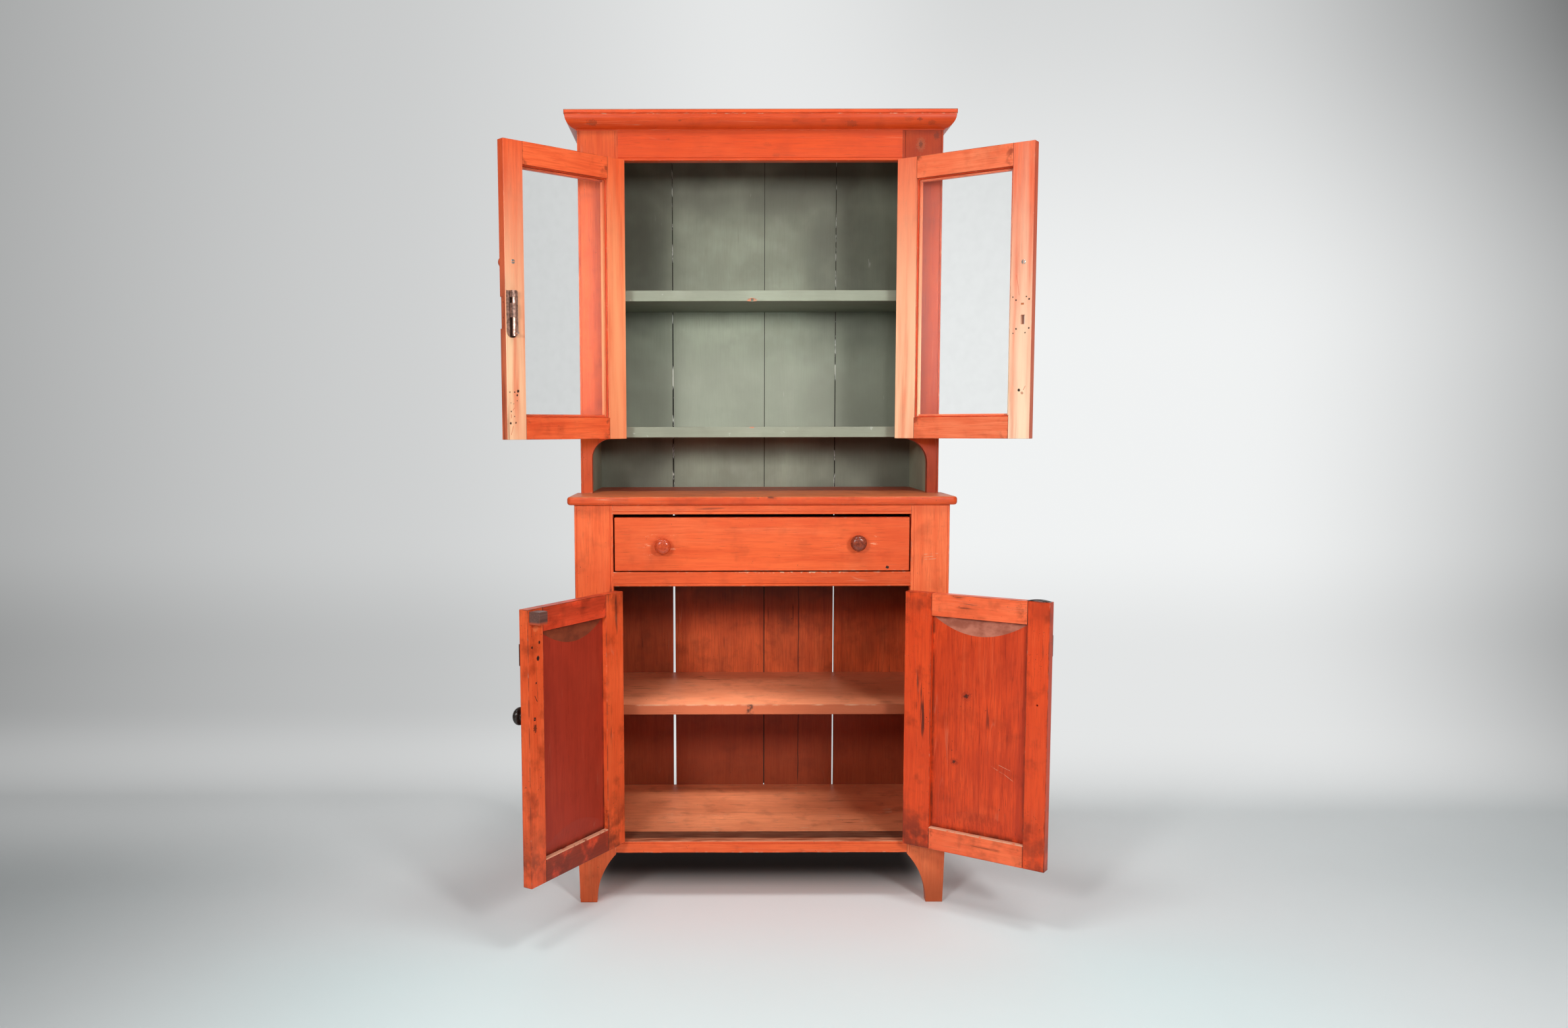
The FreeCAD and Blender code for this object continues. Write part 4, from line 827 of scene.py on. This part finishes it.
# Metal, glass and turned wood
def metal(name, tone, rust=0.4, rough=0.42, dark=0.55, shade=None):
    """Dull, patchy iron or steel with brown bloom, edges made brighter as wear and painted highlight, and a
    painted shadow along an upright line if one is given.
    """
    skin = start(name)
    patches = skin.noise(160.0, 5.0)
    fine = skin.noise(900.0, 3.0, 4.0)
    colour = skin.mix(skin.ramp(patches, 0.35, 0.7), tone, scaled(tone, dark))
    bloom = skin.both(skin.blotch(0.5, 0.68, 90.0, 4.0, 8.0), rust)
    colour = skin.mix(bloom, colour, (0.115, 0.048, 0.026))
    # Painted shadow of the bolt's rod on the plate, along the upright line
    if shade:
        off = skin.distance("x", shade * MM)
        flat = skin.ramp("y", 0.0320, 0.0305)
        colour = skin.mix(skin.both(skin.ramp(off, 0.0095, 0.0065), flat, 0.9), colour, DARK)
    # Edges made brighter: partly rubbed wear, partly a painted highlight
    rubbed = skin.both(skin.edge(1.2 * MM), 0.5)
    colour = skin.mix(rubbed, colour, scaled(tone, 2.0))
    roughness = skin.plus(skin.both(patches, 0.3), rough - 0.12)
    skin.bsdf.inputs["Metallic"].default_value = 0.75
    dress(name, skin.finish(colour, roughness, fine, 0.12, 0.0004))


def gloss_wood(skin, base, deep, bright, rough):
    """Turned wood under an old glossy finish, with the grain along the knob."""
    grain = skin.drawn((1.0, 0.2, 1.0), 190.0, 4.0)
    worn = skin.noise(130.0, 4.0, 6.0)
    colour = skin.mix(skin.ramp(grain, 0.35, 0.65), deep, base)
    colour = skin.mix(skin.ramp(worn, 0.55, 0.75, 0.5), colour, bright)
    roughness = skin.plus(skin.both(worn, 0.25), rough - 0.1)
    skin.bsdf.inputs["Coat Weight"].default_value = 0.4
    skin.bsdf.inputs["Coat Roughness"].default_value = 0.12
    return skin.finish(colour, roughness, grain, 0.12, 0.0006)


irons = ["case_hinge_leaves", "hinge_pins", "lower_left_strike_plate"]
irons += ["lower_right_top_spring", "lower_right_latch_plate"]
irons += [door + "_hinge_leaves" for door in ("upper_left", "upper_right", "lower_left", "lower_right")]
for iron in irons:
    metal(iron, IRON)
metal("bolt_plate", (0.50, 0.300, 0.235), rust=0.5, rough=0.5, dark=0.40, shade=347.45)
metal("bolt_rod", (0.90, 0.58, 0.47), rough=0.30, dark=0.45)


def catch_marks(skin):
    """Orange paint on the lower part of the catch block."""
    skin.touch(skin.ramp("z", 0.790, 0.784, 0.5), ORANGE)


catch_tones = (0.190, 0.092, 0.074), (0.07, 0.030, 0.024), (0.30, 0.16, 0.13)
catch_coat = Coat(*catch_tones, "x", wear=0.5, wear_colour=BROWN, stain=0.2, gloss=0.35)
coated("lower_left_catch_block", catch_coat, catch_marks)


def glass(name):
    """Old window glass: clear, faintly grey, with a slight ripple and a film of dust."""
    skin = start(name)
    ripple = skin.noise(14.0, 2.0)
    dust = skin.noise(40.0, 5.0, 5.0)
    colour = skin.mix(skin.ramp(dust, 0.3, 0.75), (0.97, 0.98, 0.975), (0.94, 0.95, 0.945))
    roughness = skin.ramp(dust, 0.4, 0.9, 0.02)
    skin.bsdf.inputs["Transmission Weight"].default_value = 1.0
    skin.bsdf.inputs["IOR"].default_value = 1.48
    material = skin.finish(colour, roughness, ripple, 0.03, 0.001)
    clear = skin.add("BsdfTransparent", {"Color": (0.93, 0.94, 0.935, 1.0)})
    shadow = skin.add("LightPath").outputs["Is Shadow Ray"]
    skin.surface(shadow, skin.bsdf, clear)
    dress(name, material)


for pane in ("upper_left_glass", "upper_right_glass"):
    glass(pane)


# New pieces
def placed(name, data):
    """A new object of the scene."""
    thing = bpy.data.objects.new(name, data)
    bpy.context.scene.collection.objects.link(thing)
    return thing


def new_piece(name, mesh_maker, material, body, smooth=True):
    """A mesh object made by a function that fills a bmesh, riding on a body."""
    mesh = bpy.data.meshes.new(name)
    shape = bmesh.new()
    mesh_maker(shape)
    bmesh.ops.recalc_face_normals(shape, faces=shape.faces)
    for face in shape.faces:
        face.smooth = smooth
    shape.to_mesh(mesh)
    shape.free()
    mesh.materials.append(material)
    piece = placed(name, mesh)
    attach(piece, body)
    return piece


def lathe(profile, frame_matrix, steps=56):
    """A turned solid: (radius, height) pairs in millimetres round the Z axis of the given frame."""

    def fill(shape):
        rings = []
        for radius, height in profile:
            ring = []
            for step in range(steps if radius else 1):
                angle = 2 * math.pi * step / steps
                point = Vector((radius * math.cos(angle), radius * math.sin(angle), height)) * MM
                ring.append(shape.verts.new(frame_matrix @ point))
            rings.append(ring)
        for low, high in zip(rings, rings[1:]):
            for step in range(steps):
                following = (step + 1) % steps
                corners = [low[step % len(low)], low[following % len(low)]]
                corners += [high[following % len(high)], high[step % len(high)]]
                unique = list(dict.fromkeys(corners))
                shape.faces.new(unique)

    return fill


def smooth_profile(points, rounds=3):
    """Cuts the corners of a profile again and again, keeping its ends."""
    for _ in range(rounds):
        finer = [points[0]]
        for (r0, h0), (r1, h1) in zip(points, points[1:]):
            finer.append((0.75 * r0 + 0.25 * r1, 0.75 * h0 + 0.25 * h1))
            finer.append((0.25 * r0 + 0.75 * r1, 0.25 * h0 + 0.75 * h1))
        finer.append(points[-1])
        points = finer
    return points


def join_rings(shape, pairs):
    """Faces between each pair of rings that have four corners."""
    for one, other in pairs:
        for here in range(4):
            there = (here + 1) % 4
            shape.faces.new((one[here], one[there], other[there], other[here]))


def facing(origin, direction):
    """A frame whose Z axis points along the direction from the origin."""
    turn = Vector((0, 0, 1)).rotation_difference(direction).to_matrix().to_4x4()
    return Matrix.Translation(origin) @ turn


# Turned knobs
def knob_profile(radius, length):
    """A mushroom knob: a waisted neck under a full, gently domed head."""
    waist = 0.50 * radius
    corners = [
        (0.0, 0.0), (waist * 1.2, 0.0), (waist * 1.1, 0.06 * length), (waist * 0.92, 0.24 * length),
        (waist * 1.0, 0.42 * length), (0.88 * radius, 0.46 * length), (1.03 * radius, 0.58 * length),
        (1.00 * radius, 0.76 * length), (0.72 * radius, 0.97 * length), (0.22 * radius, 1.0 * length),
        (0.0, length),
    ]
    return smooth_profile(corners)


def drawer_knobs():
    """Two glossy brown knobs, the right one darker."""
    skin = Skin("drawer_knob_finish", PLACES["drawer"], 3.0)
    right = skin.ramp("x", -0.01, 0.01)
    base = skin.mix(right, (0.62, 0.082, 0.024), (0.29, 0.050, 0.022))
    deep = skin.mix(right, (0.42, 0.046, 0.014), (0.150, 0.026, 0.013))
    material = gloss_wood(skin, base, deep, (0.50, 0.085, 0.028), 0.24)
    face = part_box("drawer_front")[0][1]
    radius, length = 20.25, 31.0

    def fill(shape):
        for across, height in DRAWER_KNOBS:
            origin = Vector((across * MM, face, height * MM))
            lathe(knob_profile(radius, length), facing(origin, Vector((0, -1, 0))))(shape)

    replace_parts(new_piece("drawer_knobs_turned", fill, material, "drawer"), "drawer_knobs")


def door_knob(node_name, across, height, base, deep, slot, radius, length):
    """A knob turned to the same size as the node it replaces."""
    body = BODY_OF[node_name]
    place = PLACES[body]
    skin = Skin(node_name + "_turned_finish", place, seeds[node_name])
    material = gloss_wood(skin, base, deep, scaled(base, 1.4), 0.32)
    origin = place.world(across, OUTER_FACE, height)
    fill = lathe(knob_profile(radius, length), facing(origin, -place.inward()), 40)
    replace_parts(new_piece(node_name + "_turned", fill, material, body), node_name)


drawer_knobs()
warm = (0.62, 0.115, 0.045), (0.42, 0.060, 0.022)
for small in ("upper_left_knob", "upper_right_knob"):
    door_knob(small, 343.45, 1625.0, *warm, "orange_paint", radius=14.0, length=25.0)
black = (0.030, 0.020, 0.016), (0.012, 0.009, 0.008)
door_knob("lower_left_knob", 351.45, 563.0, *black, "black_paint", radius=21.0, length=32.0)


# Strips in the seams of the back
def seam_fill():
    """Near-black strips that close the seams above the counter, and the narrow middle one below it too, with
    pale flecks on the outer ones.
    """
    runs = ((-239, 5.0, 1036, 2021), (26, 3.0, 1036, 2021), (231, 4.0, 1036, 2021), (26, 3.0, 166, 1034))
    face, depth, steps = 244.2, 1.4, 60

    def fill(shape):
        for middle, half, low, high in runs:
            rings = []
            for step in range(steps + 1):
                height = low + (high - low) * step / steps
                sink = face + 0.7 * math.sin(2.1 * step + middle)
                corners = [(-half, sink), (half, sink), (half, sink + depth), (-half, sink + depth)]
                rings.append([shape.verts.new(Vector((middle + x, y, height)) * MM) for x, y in corners])
            shape.faces.new(rings[0])
            shape.faces.new(rings[-1])
            join_rings(shape, zip(rings, rings[1:]))

    skin = Skin("seam_fill_finish", PLACES["case"], 4.0)
    flecks = skin.drawn((1.0, 1.0, 0.22), 120.0, 3.0)
    outer = skin.ramp(skin.distance("x", 0.026), 0.05, 0.10)
    pale = skin.both(skin.ramp(flecks, 0.50, 0.60), outer, 0.9)
    colour = skin.mix(pale, (0.030, 0.030, 0.024), (0.80, 0.80, 0.72))
    material = skin.finish(colour, 0.85, flecks, 0.3, 0.001)
    new_piece("seam_fill", fill, material, "case", smooth=False)


seam_fill()


# Glazing and screws
def putty(body):
    """Hand-pressed glazing putty round the inside of a pane, painted with the door."""
    place = PLACES[body]
    low, high = place.extent(body.replace("door", "glass"))
    face = high.y
    width, rise, steps = 3.6 * MM, 5.0 * MM, 26
    lap = 0.4 * MM
    left, right, bottom, top = low.x - lap, high.x + lap, low.z - lap, high.z + lap
    outer = [Vector((x, face, z)) for x, z in ((left, bottom), (right, bottom), (right, top), (left, top))]
    inwards = ((1, 1), (-1, 1), (-1, -1), (1, -1))
    inner = [corner + width * Vector((x, 0, z)) for corner, (x, z) in zip(outer, inwards)]

    def fill(shape):
        back = place.matrix.inverted()
        rings = []
        for index in range(4):
            following = (index + 1) % 4
            for step in range(steps):
                heel = outer[index].lerp(outer[following], step / steps)
                toe = inner[index].lerp(inner[following], step / steps)
                wave = 0.35 * MM * math.sin(7.0 * step + 3.0 * index) + 0.3 * MM * math.sin(2.3 * step)
                crest = heel + Vector((0, rise + wave, 0))
                middle = toe.lerp(crest, 0.5) + Vector((0, 0.5 * MM + 0.6 * wave, 0))
                rings.append([shape.verts.new(back @ point) for point in (heel, toe, middle, crest)])
        join_rings(shape, zip(rings, rings[1:] + rings[:1]))

    name = body.replace("door", "putty")
    skin = Skin(name + "_finish", place, 5.0, (low, high))
    skin.paint(Coat(*RED_PAINT, wear=0.2, stain=0.3))
    new_piece(name, fill, skin.finish(*skin.layers), body)


def screw_head(door, across, height, radius, depth, tone):
    """A slotted screw head on a door's inner face."""
    body, name = door + "_door", door + "_screws"
    place = PLACES[body]
    corners = [(radius, -0.4), (radius, 0.25), (0.75 * radius, 0.62), (0.3 * radius, 0.72), (0, 0.72)]
    dome = smooth_profile(corners, 1)
    cut = 0.16 * radius * MM
    turned = facing(place.world(across, depth, height), place.inward()) @ Matrix.Rotation(0.9, 4, "Z")

    def fill(shape):
        for half in (-1, 1):
            part = bmesh.new()
            lathe([(0, -0.4)] + dome, Matrix(), 24)(part)
            everything = part.verts[:] + part.edges[:] + part.faces[:]
            cut_ends = bmesh.ops.bisect_plane(part, geom=everything, plane_co=(0, half * cut, 0),
                                              plane_no=(0, half, 0), clear_inner=True)["geom_cut"]
            loose = [item for item in cut_ends if isinstance(item, bmesh.types.BMEdge)]
            bmesh.ops.edgeloop_fill(part, edges=loose)
            bmesh.ops.transform(part, matrix=turned, verts=part.verts)
            copy = bpy.data.meshes.new("screw_half")
            part.to_mesh(copy)
            part.free()
            shape.from_mesh(copy)
            bpy.data.meshes.remove(copy)

    skin = Skin(name + "_finish", place, 2.0)
    patches = skin.noise(500.0, 3.0)
    colour = skin.mix(skin.ramp(patches, 0.35, 0.65), tone, scaled(tone, 0.5))
    skin.bsdf.inputs["Metallic"].default_value = 0.8
    rough = skin.plus(skin.both(patches, 0.3), 0.2)
    new_piece(name, fill, skin.finish(colour, rough, patches, 0.1, 0.0002), body, smooth=False)


for glazed in ("upper_left_door", "upper_right_door"):
    putty(glazed)
screw_head("upper_left", 342.1, 1623.5, 5.4, UPPER_INNER_FACE, BRIGHT_STEEL)
screw_head("upper_right", 342.4, 1624.8, 5.4, UPPER_INNER_FACE, BRIGHT_STEEL)
screw_head("lower_left", 353.6, 561.7, 4.2, LOWER_INNER_FACE, IRON)


# Studio
def paper():
    """Pale paper: the floor takes light and shadow, with painted light and shade across it and a painted
    shadow under the case; the wall glows as a backdrop with painted light and shade; the back is clear.
    """
    skin = Skin("studio_paper", PLACES["case"])
    mottling = skin.noise(3.0, 4.0)
    # Painted light and shade on the floor: darker towards both sides, a little brighter and less red ahead of
    # the case
    left = skin.ramp("x", -2.15, -0.45, 0.42)
    right = skin.ramp("x", 3.8, 1.4, 0.22)
    ahead = skin.both(skin.ramp("y", -0.25, -0.75), skin.between("x", -0.8, 0.8, 0.8))
    floor_tone = skin.plus(left, right, skin.both(mottling, 0.03), 0.29, skin.both(ahead, 0.03))
    # Painted shadow: the floor is made darker under the case
    painted_case_shadow = skin.both(skin.ramp("y", -0.27, 0.02), skin.ramp("y", 0.40, 0.24))
    painted_case_shadow = skin.both(skin.between("x", -0.40, 0.40, 0.12), painted_case_shadow)
    floor_tone = skin.both(floor_tone, skin.ramp(painted_case_shadow, 1.15, 0.0))
    red = skin.both(floor_tone, skin.minus(0.95, skin.both(ahead, 0.085)))
    floor_colour = skin.value("CombineColor", {0: red, 1: floor_tone, 2: floor_tone})
    material = skin.finish(floor_colour, 0.85, mottling, 0.02)
    # The wall's glow, with painted light towards the middle and right and painted shade high up and low down
    bright = skin.both(skin.ramp("x", -1.4, 0.6), skin.ramp("x", 3.7, 1.8), 0.24)
    wide = skin.both(skin.ramp("x", -4.4, -0.8), skin.ramp("x", 4.3, 2.0), 0.36)
    bright_side = skin.ramp("x", -0.2, 1.0)
    corner = skin.plus(skin.both(bright_side, 0.19), skin.ramp("x", 1.5, 2.5, 0.13), 0.03)
    high = skin.both(corner, skin.ramp("z", 1.5, 3.1))
    low = skin.both(skin.ramp("z", 0.80, 0.35), skin.either(skin.ramp("z", 0.02, 0.20), bright_side), 0.10)
    glow = skin.minus(skin.plus(bright, wide, 0.29), skin.plus(high, low))
    wall_light = {"Color": (0.985, 1.0, 1.0, 1.0), "Strength": skin.either(glow, 0.12)}
    wall = skin.add("Emission", wall_light)
    path = skin.add("LightPath")
    seen = skin.either(*(path.outputs[f"Is {kind} Ray"] for kind in ("Camera", "Glossy", "Transmission")))
    far_left = skin.ramp("x", -0.55, -1.0, 0.55)
    far_right = skin.ramp("x", 0.55, 1.0, 0.2)
    beside = skin.both(skin.either(far_left, far_right), skin.ramp("y", -0.2, 0.5))
    behind = skin.either(skin.ramp("y", 0.22, 1.05), beside)
    front = skin.surface(skin.both(behind, seen), skin.bsdf, wall)
    back = skin.add("NewGeometry").outputs["Backfacing"]
    skin.surface(back, front, skin.add("BsdfTransparent"))
    return material


def studio():
    """A floor that sweeps up into a wall behind the cupboard."""
    front, bend, radius, top, half_width = -7.0, 0.62, 0.85, 6.0, 8.0
    just_under = -0.0004
    sweep = [(front, just_under)]
    for step in range(25):
        angle = math.pi / 2 * step / 24
        sweep.append((bend + radius * math.sin(angle), just_under + radius * (1 - math.cos(angle))))
    sweep.append((bend + radius, top))
    corners = [(x, y, z) for y, z in sweep for x in (-half_width, half_width)]
    faces = [(first, first + 1, first + 3, first + 2) for first in range(0, len(corners) - 2, 2)]
    mesh = bpy.data.meshes.new("studio_sweep")
    mesh.from_pydata(corners, [], faces)
    mesh.shade_smooth()
    mesh.materials.append(paper())
    floor = placed("studio_sweep", mesh)


def area_light(name, position, target, size, power, spread=180.0):
    """A rectangular lamp in metres and watts, aimed at a target, out of the camera's sight."""
    data = bpy.data.lights.new(name, "AREA")
    data.shape = "RECTANGLE"
    data.size, data.size_y = size
    data.energy = power
    data.spread = math.radians(spread)
    light = placed(name, data)
    light.location = position
    aim = Vector(target) - Vector(position)
    light.rotation_euler = aim.to_track_quat("-Z", "Y").to_euler()
    light.visible_camera = False


def lights():
    """Two lamps in front and two above, a narrow fill into each half, a dim panel at each side, dim air."""
    for name, side, power in (("low_left", -1, 39.0), ("low_right", 1, 40.0)):
        area_light(name, (side * 1.30, -3.2, 1.85), (0.0, 0.0, 0.95), (0.45, 0.5), power)
    for name, side in (("high_left", -1), ("high_right", 1)):
        area_light(name, (side * 0.90, -1.6, 3.60), (0.0, -0.4, 0.60), (0.9, 0.7), 23.0)
    area_light("upper_fill", (0.0, -3.1, 1.60), (0.0, 0.2, 1.46), (0.5, 0.5), 0.45, 20.0)
    area_light("lower_fill", (-0.06, -2.2, 2.30), (-0.09, 0.0, 0.32), (0.3, 0.2), 0.50, 11.0)
    area_light("panel_left", (-1.75, -1.70, 1.75), (0.55, -0.25, 1.35), (1.0, 2.0), 1.6)
    area_light("panel_right", (2.10, -0.80, 1.75), (-0.50, -0.20, 1.35), (1.0, 2.0), 1.2)
    world = bpy.data.worlds.new("studio_air")
    world.use_nodes = True
    backdrop = world.node_tree.nodes["Background"]
    backdrop.inputs["Color"].default_value = (0.92, 0.95, 1.0, 1.0)
    backdrop.inputs["Strength"].default_value = 0.09
    bpy.context.scene.world = world


def camera():
    """The photograph's viewpoint: a little left of the middle, above half height, looking slightly down."""
    image_width = 2380.0
    focal_pixels = 1849.764
    data = bpy.data.cameras.new("viewpoint")
    data.sensor_width = 36.0
    data.lens = focal_pixels / image_width * data.sensor_width
    data.shift_x = 104.85 / image_width
    data.shift_y = 41.39 / image_width
    eye = placed("viewpoint", data)
    eye.location = (-0.12055, -3.322365, 1.224814)
    pitch, yaw, roll = 0.092741, 0.00056, -0.0019
    look = Matrix.Rotation(-yaw, 4, "Z") @ Matrix.Rotation(math.pi / 2 - pitch, 4, "X")
    eye.rotation_euler = (look @ Matrix.Rotation(roll, 4, "Z")).to_euler()
    bpy.context.scene.camera = eye


studio()
lights()
camera()
bpy.context.scene.view_settings.view_transform = "Standard"
